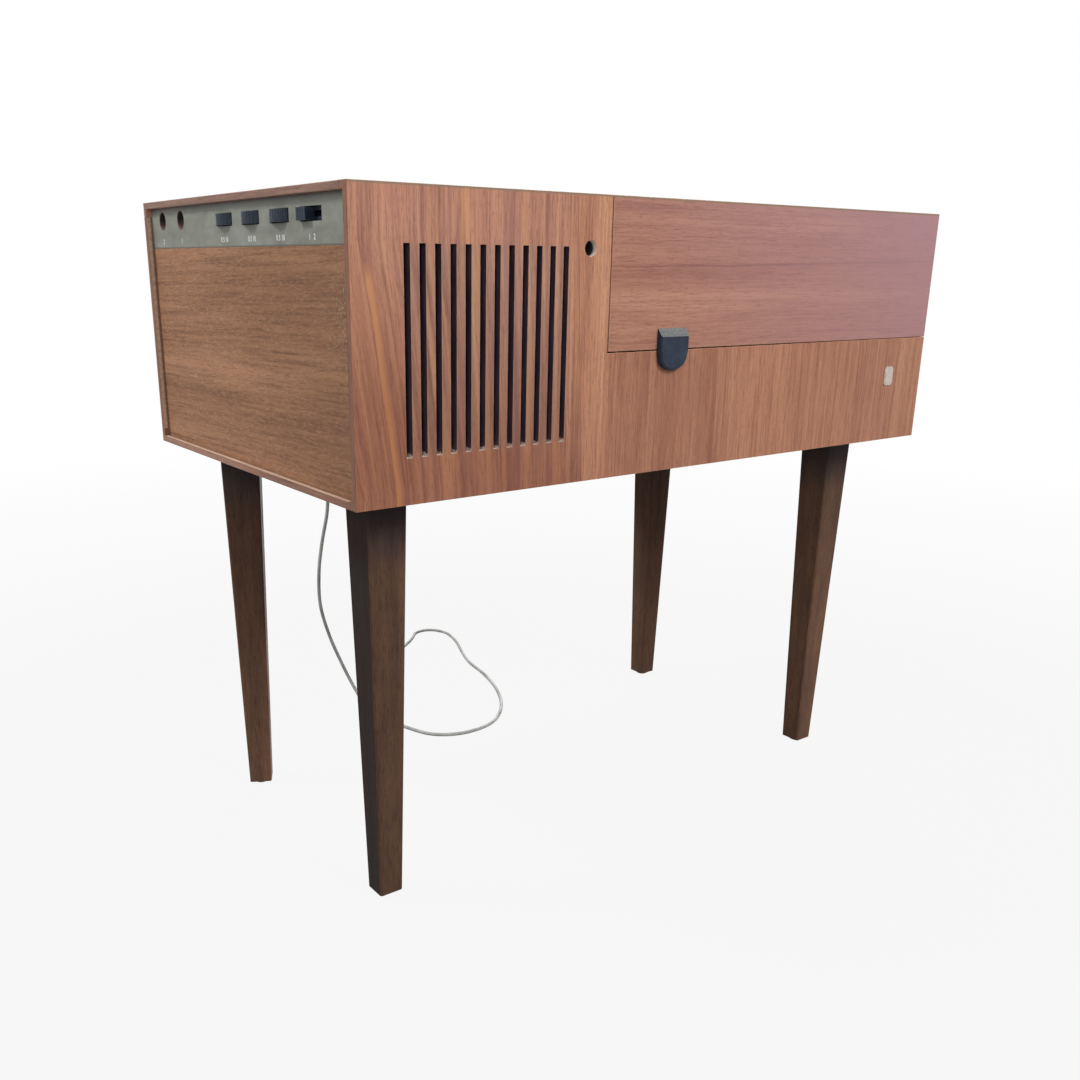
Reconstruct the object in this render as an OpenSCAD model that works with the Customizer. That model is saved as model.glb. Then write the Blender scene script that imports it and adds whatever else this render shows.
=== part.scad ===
// Legged record player cabinet, teak veneered, with a slotted loudspeaker front at the left,
// a control strip in the left end and a hinged lid over the record deck at the right.
// Millimetres, +Z up. The origin is on the floor, under the centre of the case. The front faces -Y.

/* [Case] */
// Length of the case, left end to right end
case_length = 650; // [630:10:720]
// Depth of the case, front face to rear face
case_depth = 380; // [376:4:420]
// Height of the case without its legs
case_height = 214; // [210:2:236]
// Thickness of the veneered case boards
board = 12; // [11:0.5:14]
// Width of the bare edge that frames the left end
lip = 5.5; // [4:0.5:7]

/* [Lid] */
// Upright lid joint, measured from the left end
lid_start = 226; // [222:1:232]
// Level lid joint, measured down from the top of the case
lid_seam = 115; // [110:1:118]
// Width of the joint round the lid
lid_gap = 1; // [0.6:0.1:1.6]
// How far the partition stands back from the upright lid joint
partition_setback = 1; // [0.8:0.1:2]

/* [Lid pull] */
// Left edge of the lid pull, measured from the left end
pull_start = 278.5; // [250:0.5:400]
// Width of the lid pull
pull_width = 31.5; // [28:0.5:44]
// Height of the lid pull
pull_height = 33.5; // [28:0.5:38]
// How far the lid pull reaches below the lid joint
pull_drop = 16.5; // [10:0.5:18]
// How far the lid pull stands out from the lid
pull_depth = 5.5; // [5:0.5:12]
// Gap between the lid pull and the board below the lid
pull_clearance = 0.4; // [0.3:0.1:1]

/* [Loudspeaker front] */
// Number of sound slots
slot_count = 12; // [8:1:12]
// Width of a sound slot
slot_width = 5; // [3:0.5:7]
// Distance from one sound slot to the next
slot_pitch = 12.5; // [10:0.1:12.6]
// Left edge of the first slot, measured from the left end
slot_first = 41.5; // [36:0.5:44]
// Lower end of the slots, measured from the underside of the case
slot_low = 33.6; // [28:0.2:40]
// Height of the slots
slot_height = 143; // [120:1:150]
// Diameter of the pilot lamp's hole
lamp_hole = 11.5; // [8:0.5:12]
// Pilot lamp's hole, measured from the left end
lamp_from_left = 205; // [204:0.5:206]
// Pilot lamp's hole, measured down from the top of the case
lamp_level = 38.3; // [30:0.1:50]
// Thickness of the sound cloth
cloth = 0.8; // [0.5:0.1:1.5]
// Thickness of the loudspeaker baffle
baffle = 8; // [6:0.5:10]
// Radius of the loudspeaker's flange
speaker_r = 78; // [70:1:80]
// Depth of the loudspeaker behind the baffle
speaker_depth = 78; // [60:1:84]

/* [Left end] */
// How far the end panel stands back from the edge of the case
panel_recess = 5; // [3:0.5:6]
// Thickness of the end panel
panel = 6; // [5:0.5:8]
// Height of the control strip
strip_height = 33.5; // [32:0.5:35]
// Thickness of the control strip's sheet
strip_sheet = 1.5; // [1:0.1:2]
// Depth of the shelf folded from the control strip
shelf_depth = 44; // [40:1:60]

/* [Controls] */
// Width of a control window
window_width = 32; // [30:0.5:36]
// Height of a control window
window_height = 9.8; // [9:0.1:12]
// Distance from one control window to the next
window_pitch = 50; // [48:1:54]
// Middle of the foremost window, measured from the front face
window_first = 60; // [50:1:62]
// Middle of the windows, measured down from the top of the case
window_drop = 18.4; // [17.8:0.1:19]
// Radius of an edge wheel
wheel_r = 22; // [20:0.5:22.5]
// How far an edge wheel stands out of the strip
wheel_proud = 4.8; // [3:0.1:4.9]
// Gap above and below a control in its window
window_clearance = 0.6; // [0.4:0.1:1]
// Radius of a control shaft
shaft_r = 3; // [2:0.1:4]
// Radial clearance of every turning shaft
shaft_clearance = 0.05; // [0.02:0.01:0.1]
// Travel of the selector's finger tab
tab_travel = 15; // [10:1:15]
// Width of the selector's finger tab
tab_width = 14; // [10:0.5:14]
// Outer radius of a round socket
socket_r = 8; // [7.8:0.1:8.4]
// Wall of a round socket
socket_wall = 0.75; // [0.5:0.05:1]
// Depth from the strip to the socket's contacts
socket_depth = 7; // [5:0.5:9]
// Foremost socket, measured from the rear face
socket_first = 76.5; // [72:0.5:94]
// Distance from one socket to the other
socket_pitch = 43.5; // [30:0.5:45]
// Middle of the sockets, measured down from the top of the case
socket_drop = 16.2; // [15.6:0.1:17]

/* [Legs] */
// Height of the case's underside above the floor
leg_height = 352; // [300:1:420]
// Width of a leg at its top
leg_top = 35.4; // [32:0.2:40]
// Width of a leg at its foot
leg_foot = 21.6; // [20:0.2:28]
// Chamfer along a leg's arrises
leg_chamfer = 1.4; // [0.5:0.1:2.5]
// Middle of the left legs, measured from the left end
leg_from_left = 52; // [48:1:60]
// Middle of the right legs, measured from the right end
leg_from_right = 54; // [48:1:60]
// Middle of the front legs, measured from the front face
leg_from_front = 64; // [60:1:70]
// Middle of the rear legs, measured from the rear face
leg_from_rear = 62; // [60:1:70]
// Turn of the rear left leg about its bolt, in degrees
leg_turn = -28; // [-45:1:45]
// Height of a glide
glide_height = 4; // [3:0.5:6]
// Radius of a glide
glide_r = 8; // [6:0.5:9]
// Radius of a leg bolt
bolt_r = 4; // [3:0.5:5]
// Length of a leg bolt inside the leg
bolt_in_leg = 38; // [25:1:60]

/* [Record deck] */
// Top of the deck plate, measured down from the top of the case
deck_level = 126; // [124:1:130]
// Thickness of the deck plate's sheet
deck_sheet = 2; // [1.5:0.1:2.5]
// Gap between the deck plate and the case all round
deck_gap = 4; // [3:0.5:6]
// Depth of the deck plate's turned down edge
deck_skirt = 10; // [6:1:12]
// Spindle, measured from the partition
spindle_from_partition = 162; // [160:1:165]
// Radius of the platter
platter_r = 125; // [115:1:128]
// Top of the platter above the deck plate
platter_rise = 20; // [18:1:23]
// Wall of the platter's rim
platter_rim = 7; // [5:0.5:8]
// Height of the platter's rim
platter_skirt = 14; // [12:0.5:15]
// Thickness of the platter's web
platter_web = 3; // [2:0.5:4]
// Thickness of the rubber mat
mat = 3.5; // [2.5:0.1:4]
// Radius of the spindle where a record sits
spindle_tip_r = 3.55; // [3.5:0.01:3.6]
// Radius of the spindle's shaft
spindle_r = 5; // [4.5:0.1:6]
// Length of the spindle above the mat
spindle_above = 12.5; // [8:0.5:16]
// Radius of the idler wheel
idler_r = 20; // [17:0.5:22]
// Radius of the motor pulley's working step
pulley_r = 2.8; // [2.5:0.1:4]
// Gap between a friction wheel and what it drives
drive_gap = 0.3; // [0.2:0.05:0.4]
// Radius of the motor
motor_r = 30; // [26:1:34]
// Height of the motor
motor_height = 46; // [36:1:50]

/* [Pickup arm] */
// Arm's pivot to the right of the spindle
arm_x = 188; // [186:1:192]
// Arm's pivot behind the spindle
arm_y = 110; // [104:1:114]
// Pivot to stylus
arm_length = 234; // [226:1:238]
// Height of the arm tube above the deck plate
arm_rise = 42; // [40:1:46]
// Outer radius of the arm tube
arm_r = 4; // [3:0.25:4.5]
// Angle of the head to the tube, in degrees
head_angle = 22; // [0:1:25]
// Gap between the stylus and the mat
stylus_gap = 1.7; // [1.5:0.1:4]

/* [Lid hinges and stay] */
// Length of a butt hinge
hinge_length = 50; // [40:1:70]
// Radius of a hinge knuckle
knuckle_r = 3.2; // [2.8:0.1:4]
// Radius of a hinge pin
pin_r = 1.5; // [1:0.1:2]
// Thickness of a hinge leaf
leaf = 1.5; // [1:0.1:2]
// Hinges, measured in from the ends of the lid
hinge_inset = 55; // [40:1:80]
// Distance from the hinge axis to the stay's pivot and stud
stay_reach = 60; // [56:1:62]
// Angle of the stay's pivot below the hinge axis, in degrees
stay_pivot_angle = 8; // [8:0.5:9]
// Angle of the stay's stud below the hinge axis, in degrees
stay_stud_angle = 24; // [24:0.5:26]
// How far the lid opens, in degrees
lid_open = 80; // [60:1:82]
// Width of the stay's arm
stay_width = 11; // [9:0.5:12]

/* [Mains lead] */
// Diameter of the mains lead
cord_d = 4; // [3.5:0.1:4.4]
// Gap between the coil's turns
coil_gap = 0.6; // [0.5:0.05:0.8]
// Loops in the coil, a whole number and a quarter
coil_loops = 5.25; // [3.25:1:6.25]
// Radius of the coil's outermost loop
coil_r = 29; // [28:0.5:34]

/* [Hidden] */
$fn = 48;

teak = [0.62, 0.40, 0.29];
teak_matte = [0.56, 0.41, 0.31];
dark_wood = [0.27, 0.19, 0.15];
softwood = [0.78, 0.66, 0.48];
strip_grey = [0.50, 0.51, 0.46];
control_black = [0.13, 0.15, 0.19];
steel = [0.66, 0.67, 0.68];
deck_grey = [0.72, 0.71, 0.66];
rubber_black = [0.08, 0.08, 0.09];
hardboard = [0.36, 0.25, 0.17];
cord_grey = [0.72, 0.73, 0.72];

// overshoot of a cutter past the face it opens
cut = 1;
// faces that must not rub lie this far apart
running_gap = 0.3;

left = -case_length / 2;
right = case_length / 2;
front = -case_depth / 2;
rear = case_depth / 2;
base = leg_height;
top = base + case_height;
inner_front = front + board;
inner_rear = rear - board;
floor_top = base + board;
ceiling = top - board;

// the lid and the bay under it
seam_x = left + lid_start;
seam_z = top - lid_seam;
bay_left = seam_x - partition_setback;
partition_left = bay_left - board;
bay_right = right - board;
lid_left = seam_x + lid_gap / 2;
lid_low = seam_z + lid_gap / 2;
rear_gap = lid_gap / 2;
rear_top = ceiling - rear_gap;
hinge_y = rear + knuckle_r + 0.1;
hinge_z = ceiling - rear_gap / 2;

// the left end: a rebate takes the end panel and the strip
panel_x = left + panel_recess;
rebate = panel_recess + panel;
strip_low = top - lip - strip_height;
strip_back = panel_x + strip_sheet;
panel_clearance = 0.3;
strip_relief = 27;
shelf_inset = 30;
shelf_top = strip_low + strip_sheet;

// controls behind the strip
window_z = top - window_drop;
wheel_x = panel_x + wheel_r - wheel_proud;
wheel_height = window_height - 2 * window_clearance;
wheel_low = window_z - wheel_height / 2;
pot_r = 10.5;
pot_height = 9;
bush_wall = 1.5;
tab_proud = 4;
switch_gap = 2.5;
switch_depth = 13;
stem_width = 5;
stem_height = 3.6;
stem_depth = 8;
socket_z = top - socket_drop;
socket_bore_r = socket_r - socket_wall;
contact_count = 5;
contact_r = 0.9;

// loudspeaker
baffle_left = left + rebate + 6;
lamp_x = left + lamp_from_left;
lamp_z = top - lamp_level;
baffle_right = lamp_x - lamp_hole / 2 - 3;
baffle_back = inner_front + cloth + baffle;
speaker_x = left + slot_first + ((slot_count - 1) * slot_pitch + slot_width) / 2;
speaker_z = (floor_top + ceiling) / 2;
speaker_hole = speaker_r - 16;
flange = 4;
mouth_setback = 20;
cone_edge = 19;
cone_seat = 2;
magnet_r = 35;
magnet_height = 24;

// record deck
deck_top = top - deck_level;
deck_under = deck_top - deck_sheet;
deck_left = bay_left + deck_gap;
deck_right = bay_right - deck_gap;
deck_front = inner_front + deck_gap;
deck_rear = inner_rear - deck_gap;
batten_width = 28;
batten_height = 20;
batten_top = deck_under - 14;
batten_length = case_depth - 80;
mount_inset = 16;
mount_y = case_depth / 2 - 60;
mount_r = 9;
mount_waist = 6;
mount_screw_r = 4;
spindle_x = bay_left + spindle_from_partition;
platter_top = deck_top + platter_rise;
mat_top = platter_top + mat;
rim_in = platter_r - platter_rim;
idler_bearing_r = 2;
idler_angle = 150;
idler_centre = rim_in - drive_gap - idler_r;
idler_x = spindle_x + idler_centre * cos(idler_angle);
idler_y = idler_centre * sin(idler_angle);
pulley_angle = -60;
pulley_centre = idler_r + drive_gap + pulley_r;
pulley_x = idler_x + pulley_centre * cos(pulley_angle);
pulley_y = idler_y + pulley_centre * sin(pulley_angle);
idler_low = deck_top + 9;
idler_tread = 3;
motor_top = deck_under - 6;
motor_shaft_r = 2.5;
bearing_r = 9;
bearing_low = deck_top - 30;
ring_gap = 3.5;
ring_width = 3.5;
ring_height = 1.6;
bearing_flange_r = 14;

// pickup arm
arm_pivot_x = spindle_x + arm_x;
arm_z = deck_top + arm_rise;
post_r = 12;
yoke_shaft_r = 5;
yoke_low = arm_z - 18;
yoke_ear = 3;
yoke_gap = 8;
axle_r = 2;
rest_from_pivot = 150;
head_length = 44;
head_width = 20;
head_height = 9;
weight_r = 11;
weight_length = 20;
weight_start = 28;
knob_x = deck_right - 26;
knob_y = -mount_y + 32;
knob_r = 14;

// stay
stay_x = bay_left + 5;
stay_sheet = 2;
stay_pin_r = 2;
stud_r = 2.5;
stay_slot_gap = 0.3;
stay_start = stay_angle_chord(0);
stay_end = stay_angle_chord(lid_open);
stay_tilt = (stay_pivot_angle + stay_stud_angle) / 2;
pivot_y = hinge_y - stay_reach * cos(stay_pivot_angle);
pivot_z = hinge_z - stay_reach * sin(stay_pivot_angle);
stud_y = hinge_y - stay_reach * cos(stay_stud_angle);
stud_z = hinge_z - stay_reach * sin(stay_stud_angle);

// distance from the stay's pivot to its stud with the lid open by an angle
function stay_angle_chord(open) =
    2 * stay_reach * sin((stay_stud_angle - stay_pivot_angle + open) / 2);

// back cover
cover_sheet = 3;
cover_lap = 8;
cover_clearance = 0.5;
vent_left = left + board + 10;
vent_right = partition_left - 10;
vent_low = floor_top + 14;
vent_high = ceiling - 12;
cover_back = rear - 0.4;
gland_x = -130;
gland_z = 392;
gland_length = 24;
gland_r = 6;

// mains lead: the points of its free stretch, laid by hand, from the gland to the coil
cord_r = cord_d / 2;
CORD_POINTS = [
    [-130, 214, 392], [-130, 222, 391], [-130, 229.4, 386.8], [-130, 234, 380],
    [-129.5, 235.8, 370], [-128, 236, 350], [-127, 236, 320], [-128, 235, 285], [-130, 235, 250],
    [-138, 235, 215], [-143, 236, 180], [-142, 238, 140], [-131, 240, 100], [-117, 240, 64],
    [-106, 236, 36], [-98.5, 226, 16], [-92.5, 209, 5.6], [-87.5, 184, 2.7], [-81, 152, 2.2],
    [-66, 118, 2.2], [-34, 101, 2.2], [8, 106, 2.2], [44, 136, 2.2], [72, 182, 2.2], [91, 236, 2.2],
    [101, 286, 2.2], [116, 326, 2.2], [131, 360, 2.2], [140, 389.5, 2.2], [141.5, 407.5, 2.2],
    [134.4, 425.1, 2.2], [121, 432.5, 2.2], [105.1, 429.1, 2.2], [92.3, 416.1, 2.2],
    [73.7, 399.5, 2.2], [46, 381, 2.2], [14, 371.5, 2.2], [-4, 371, 2.2]
];
CORD_STEPS = 2;
CORD_SIDES = 8;
COIL_CENTRE = [-8, 342];
COIL_RINGS = 24;
COIL_SIDES = 6;
coil_pitch = cord_d + coil_gap;
coil_tail = 4 * cord_d;
floor_lift = 0.2;
plug_length = 30;
plug_width = 34;
plug_sleeve = 8;
plug_pin_r = 2;
plug_pin_length = 19;
plug_pin_spread = 9.5;

// ---------------------------------------------------------------- shared shapes

// a flat outline with round corners, made of true arcs
module rounded_outline(size_x, size_y, r) {
    translate([r, 0])
        square([size_x - 2 * r, size_y]);
    translate([0, r])
        square([size_x, size_y - 2 * r]);
    for (x = [r, size_x - r], y = [r, size_y - r])
        translate([x, y])
            circle(r);
}

// the space that the end panel and the strip take in the left ends of the boards
module end_rebate() {
    translate([left - cut, front + lip, base + lip])
        cube([rebate + cut, case_depth - 2 * lip, case_height - 2 * lip]);
}

// a cylinder along +Y that starts at the origin
module along_y(r, h) {
    rotate([-90, 0, 0])
        cylinder(r = r, h = h);
}

// a cylinder along +X that starts at the origin
module along_x(r, h) {
    rotate([0, 90, 0])
        cylinder(r = r, h = h);
}

function leg_x(side) = side < 0 ? left + leg_from_left : right - leg_from_right;
function leg_y(side) = side < 0 ? front + leg_from_front : rear - leg_from_rear;

// ---------------------------------------------------------------- case

// one board for the whole front: slotted at the left, cut down under the lid at the right
module front_board() {
    under_lid = case_height - lid_seam - lid_gap / 2;
    color(teak)
        difference() {
            translate([left, front, base])
                rotate([90, 0, 0])
                    mirror([0, 0, 1])
                        linear_extrude(board)
                            polygon([
                                [0, 0], [case_length, 0], [case_length, under_lid],
                                [lid_start - lid_gap / 2, under_lid],
                                [lid_start - lid_gap / 2, case_height], [0, case_height]
                            ]);
            for (i = [0 : slot_count - 1])
                translate([left + slot_first + i * slot_pitch, front - cut, base + slot_low])
                    cube([slot_width, board + 2 * cut, slot_height]);
            translate([lamp_x, front - cut, lamp_z])
                along_y(lamp_hole / 2, board + 2 * cut);
            end_rebate();
        }
}

module top_board() {
    color(teak)
        difference() {
            translate([left, inner_front, ceiling])
                cube([lid_start - lid_gap / 2, rear - inner_front, board]);
            end_rebate();
            translate([left - cut, inner_front - cut, ceiling - cut])
                cube([strip_relief + cut, inner_rear - inner_front + cut, board - lip + cut]);
        }
}

module bottom_board() {
    color(teak_matte)
        difference() {
            translate([left, inner_front, base])
                cube([case_length, rear - inner_front, board]);
            end_rebate();
            for (sx = [-1, 1], sy = [-1, 1])
                translate([leg_x(sx), leg_y(sy), base - cut])
                    cylinder(r = bolt_r + running_gap, h = board + 2 * cut);
        }
}

// the rear board is open behind the amplifier, where the ventilated cover is let in
module rear_board() {
    color(teak_matte)
        difference() {
            union() {
                translate([left, inner_rear, floor_top])
                    cube([case_length, board, rear_top - floor_top]);
                translate([left, inner_rear, floor_top])
                    cube([lid_start - lid_gap / 2, board, ceiling - floor_top]);
            }
            end_rebate();
            translate([vent_left, inner_rear - cut, vent_low])
                cube([vent_right - vent_left, board + 2 * cut, vent_high - vent_low]);
            translate([vent_left - cover_lap, cover_back - cover_sheet, vent_low - cover_lap])
                cube([
                    vent_right - vent_left + 2 * cover_lap, board,
                    vent_high - vent_low + 2 * cover_lap
                ]);
        }
}

module right_end_board() {
    color(teak)
        translate([bay_right, inner_front, floor_top])
            cube([board, inner_rear - inner_front, seam_z - lid_gap / 2 - floor_top]);
}

module partition() {
    color(teak_matte)
        translate([partition_left, inner_front, floor_top])
            cube([board, inner_rear - inner_front, ceiling - floor_top]);
}

module end_panel() {
    color(teak_matte)
        translate([panel_x, front + lip + panel_clearance, base + lip])
            cube([panel, case_depth - 2 * (lip + panel_clearance), strip_low - base - lip]);
}

// folded sheet: the face with its windows and holes, and the shelf that carries the controls
module control_strip() {
    color(strip_grey)
        difference() {
            union() {
                translate([panel_x, front + lip + panel_clearance, strip_low])
                    cube([
                        strip_sheet, case_depth - 2 * (lip + panel_clearance),
                        strip_height
                    ]);
                translate([panel_x, front + shelf_inset, strip_low])
                    cube([shelf_depth, case_depth - 2 * shelf_inset, strip_sheet]);
            }
            for (i = [0 : 3])
                translate([
                    panel_x - cut, front + window_first + i * window_pitch - window_width / 2,
                    window_z - window_height / 2
                ])
                    cube([strip_sheet + 2 * cut, window_width, window_height]);
            for (i = [0 : 1])
                translate([panel_x - cut, rear - socket_first + i * socket_pitch, socket_z])
                    along_x(socket_r + 0.1, strip_sheet + 2 * cut);
        }
}

// hardboard cover with two rows of air slots, let into the rear board
module back_cover() {
    cover_left = vent_left - cover_lap + cover_clearance;
    cover_low = vent_low - cover_lap + cover_clearance;
    cover_width = vent_right - vent_left + 2 * (cover_lap - cover_clearance);
    cover_height = vent_high - vent_low + 2 * (cover_lap - cover_clearance);
    air_width = 5;
    air_height = 44;
    air_pitch = 12;
    air_count = 12;
    air_start = (cover_width - (air_count - 1) * air_pitch - air_width) / 2;
    color(hardboard)
        difference() {
            translate([cover_left, cover_back - cover_sheet, cover_low])
                cube([cover_width, cover_sheet, cover_height]);
            for (i = [0 : air_count - 1], row = [0, 1])
                translate([
                    cover_left + air_start + i * air_pitch, cover_back - cover_sheet - cut,
                    cover_low + 48 + row * 60
                ])
                    cube([air_width, cover_sheet + 2 * cut, air_height]);
            translate([gland_x, cover_back - cover_sheet - cut, gland_z])
                along_y(gland_r + 0.1, cover_sheet + 2 * cut);
        }
}

// softwood bearers for the deck and glue blocks in the corners of its bay
module battens() {
    block = 15;
    color(softwood) {
        for (x = [bay_left, bay_right - batten_width])
            translate([x, -batten_length / 2, batten_top - batten_height])
                cube([batten_width, batten_length, batten_height]);
        for (x = [bay_left, bay_right - block], y = [inner_front, inner_rear - block])
            translate([x, y, floor_top])
                cube([block, block, batten_top - floor_top]);
    }
}

// ---------------------------------------------------------------- legs

module leg_section(width) {
    half = width / 2;
    c = leg_chamfer;
    polygon([
        [half - c, -half], [half, -half + c], [half, half - c], [half - c, half],
        [-half + c, half], [-half, half - c], [-half, -half + c], [-half + c, -half]
    ]);
}

// a square leg, tapered alike on its four faces, drilled from above for its bolt
module leg(sx, sy, turn) {
    slice = 0.01;
    color(dark_wood)
        translate([leg_x(sx), leg_y(sy), 0])
            rotate([0, 0, turn])
                difference() {
                    hull() {
                        translate([0, 0, glide_height])
                            linear_extrude(slice)
                                leg_section(leg_foot);
                        translate([0, 0, leg_height - slice])
                            linear_extrude(slice)
                                leg_section(leg_top);
                    }
                    translate([0, 0, leg_height - bolt_in_leg - 2])
                        cylinder(r = bolt_r + 0.1, h = bolt_in_leg + 2 + cut);
                }
}

module leg_front_left() leg(-1, -1, 0);
module leg_front_right() leg(1, -1, 0);
module leg_rear_left() leg(-1, 1, leg_turn);
module leg_rear_right() leg(1, 1, 0);

module leg_glides() {
    color(rubber_black)
        for (sx = [-1, 1], sy = [-1, 1])
            translate([leg_x(sx), leg_y(sy), 0])
                cylinder(r = glide_r, h = glide_height);
}

// a hanger bolt in each leg, through the bottom board, with a washer and a nut
module leg_bolts() {
    washer = 1.5;
    nut = 6.5;
    color(steel)
        for (sx = [-1, 1], sy = [-1, 1])
            translate([leg_x(sx), leg_y(sy), 0]) {
                translate([0, 0, base - bolt_in_leg])
                    cylinder(r = bolt_r, h = bolt_in_leg + board + washer + nut + 4);
                translate([0, 0, floor_top])
                    cylinder(r = 2.5 * bolt_r, h = washer);
                translate([0, 0, floor_top + washer])
                    cylinder(r = 1.85 * bolt_r, h = nut, $fn = 6);
            }
}

// ---------------------------------------------------------------- lid

module lid_top() {
    color(teak)
        translate([lid_left, inner_front, ceiling])
            cube([right - lid_left, rear - inner_front, board]);
}

module lid_front() {
    color(teak)
        translate([lid_left, front, lid_low])
            cube([right - lid_left, board, top - lid_low]);
}

module lid_side() {
    color(teak)
        translate([bay_right, inner_front, lid_low])
            cube([board, inner_rear - rear_gap - inner_front, ceiling - lid_low]);
}

// outline of the lid pull seen from the front: square top, drawn in to a blunt point below
module pull_outline(inset_side, inset_top, inset_low) {
    half = pull_width / 2 - inset_side;
    for (side = [0, 1])
        mirror([side, 0])
            polygon([
                [0, inset_low], [half * 0.13, inset_low], [half * 0.41, inset_low + 1],
                [half * 0.7, inset_low + 3.2], [half - 1.6, inset_low + 7],
                [half, inset_low + 14], [half, pull_height - inset_top],
                [0, pull_height - inset_top]
            ]);
}

// moulded pull with a sloping top, screwed to the lid above the joint and hanging over it
module lid_pull() {
    slice = 0.01;
    seat_low = pull_drop + 2;
    color(control_black)
        translate([left + pull_start + pull_width / 2, front, seam_z - pull_drop]) {
            rotate([90, 0, 0])
                hull() {
                    translate([0, 0, pull_clearance])
                        linear_extrude(slice)
                            pull_outline(0, 0, 0);
                    translate([0, 0, pull_depth - 1.5])
                        linear_extrude(slice)
                            pull_outline(0.3, 5, 0.4);
                    translate([0, 0, pull_depth - slice])
                        linear_extrude(slice)
                            pull_outline(1.1, 6.5, 1.6);
                }
            translate([-pull_width / 2 + 3, -pull_clearance - slice, seat_low])
                cube([pull_width - 6, pull_clearance + slice, pull_height - seat_low - 2]);
        }
}

// ---------------------------------------------------------------- hinges

hinge_starts = [lid_left + hinge_inset, right - hinge_inset - hinge_length];
knuckles = 5;
knuckle_gap = 0.3;
knuckle_length = hinge_length / knuckles;

// knuckles of one leaf: every second one, from the first or the second
module knuckle_row(first) {
    for (i = [first : 2 : knuckles - 1])
        translate([i * knuckle_length + knuckle_gap / 2, 0, 0])
            along_x(knuckle_r, knuckle_length - knuckle_gap);
}

// one leaf: a plate on the board's rear edge, its knuckles, and room for the other leaf's
module hinge_leaf(first, plate_low, plate_high) {
    room_r = knuckle_r + running_gap;
    plate_y = rear - hinge_y;
    for (x = hinge_starts)
        translate([x, hinge_y, hinge_z])
            difference() {
                union() {
                    translate([0, plate_y, plate_low])
                        cube([hinge_length, leaf, plate_high - plate_low]);
                    knuckle_row(first);
                }
                for (i = [1 - first : 2 : knuckles - 1])
                    translate([i * knuckle_length - knuckle_gap / 2, 0, 0])
                        along_x(room_r, knuckle_length + knuckle_gap);
                translate([-cut, 0, 0])
                    along_x(pin_r + shaft_clearance, hinge_length + 2 * cut);
            }
}

module lid_hinge_leaves() {
    color(steel)
        hinge_leaf(1, 0.5, board - 1);
}

module case_hinge_leaves() {
    color(steel)
        hinge_leaf(0, -board + 1, -0.5);
}

module hinge_pins() {
    head = 1;
    color(steel)
        for (x = hinge_starts)
            translate([x - head, hinge_y, hinge_z]) {
                along_x(pin_r, hinge_length + 2 * head);
                along_x(pin_r + 0.8, head);
                translate([hinge_length + head, 0, 0])
                    along_x(pin_r + 0.8, head);
            }
}

// ---------------------------------------------------------------- lid stay

// flat arm that turns on the lid and slides over a stud on the partition
module stay_arm() {
    slot_r = stud_r + stay_slot_gap;
    slot_from = stay_start - 0.2;
    slot_to = stay_end + 0.2;
    tail = slot_to + slot_r + 4;
    color(steel)
        translate([stay_x, pivot_y, pivot_z])
            rotate([-90 + stay_tilt, 0, 0])
                difference() {
                    union() {
                        translate([0, 0, -stay_width / 2])
                            cube([stay_sheet, tail, stay_width]);
                        along_x(stay_width / 2, stay_sheet);
                        translate([0, tail, 0])
                            along_x(stay_width / 2, stay_sheet);
                        along_x(stay_pin_r, stay_sheet + 4.5);
                    }
                    translate([-cut, slot_from, -slot_r])
                        cube([stay_sheet + 2 * cut, slot_to - slot_from, 2 * slot_r]);
                    for (y = [slot_from, slot_to])
                        translate([-cut, y, 0])
                            along_x(slot_r, stay_sheet + 2 * cut);
                }
}

// angle bracket under the lid that holds the stay's pivot
module stay_bracket() {
    bracket_x = stay_x + stay_sheet + running_gap;
    half = 7;
    foot = 16;
    color(steel)
        difference() {
            union() {
                translate([bracket_x, pivot_y - half, pivot_z])
                    cube([stay_sheet, 2 * half, ceiling - pivot_z]);
                translate([bracket_x, pivot_y, pivot_z])
                    along_x(half, stay_sheet);
                translate([bracket_x, pivot_y - half, ceiling - 1.5])
                    cube([foot, 2 * half, 1.5]);
            }
            translate([bracket_x - cut, pivot_y, pivot_z])
                along_x(stay_pin_r + shaft_clearance, stay_sheet + 2 * cut);
        }
}

// headed stud screwed to the partition
module stay_stud() {
    color(steel)
        translate([bay_left, stud_y, stud_z]) {
            along_x(stud_r + 2.5, stay_x - bay_left - running_gap);
            along_x(stud_r, stay_x - bay_left + stay_sheet + 1.8);
            translate([stay_x - bay_left + stay_sheet + running_gap, 0, 0])
                along_x(stud_r + 1.5, 1.5);
        }
}

// ---------------------------------------------------------------- controls

// thumb wheel with a milled edge, on a shaft that goes down into its potentiometer
module edge_wheel(place) {
    notches = 36;
    notch_r = 0.8;
    color(control_black)
        translate([wheel_x, front + window_first + place * window_pitch, 0]) {
            difference() {
                translate([0, 0, wheel_low])
                    cylinder(r = wheel_r, h = wheel_height);
                for (i = [0 : notches - 1])
                    rotate([0, 0, i * 360 / notches])
                        translate([wheel_r + 0.2, 0, wheel_low - cut])
                            cylinder(r = notch_r, h = wheel_height + 2 * cut, $fn = 4);
            }
            translate([0, 0, shelf_top + 2])
                cylinder(r = shaft_r, h = wheel_low - shelf_top - 2);
        }
}

module volume_wheel() edge_wheel(3);
module bass_wheel() edge_wheel(2);
module treble_wheel() edge_wheel(1);

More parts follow.
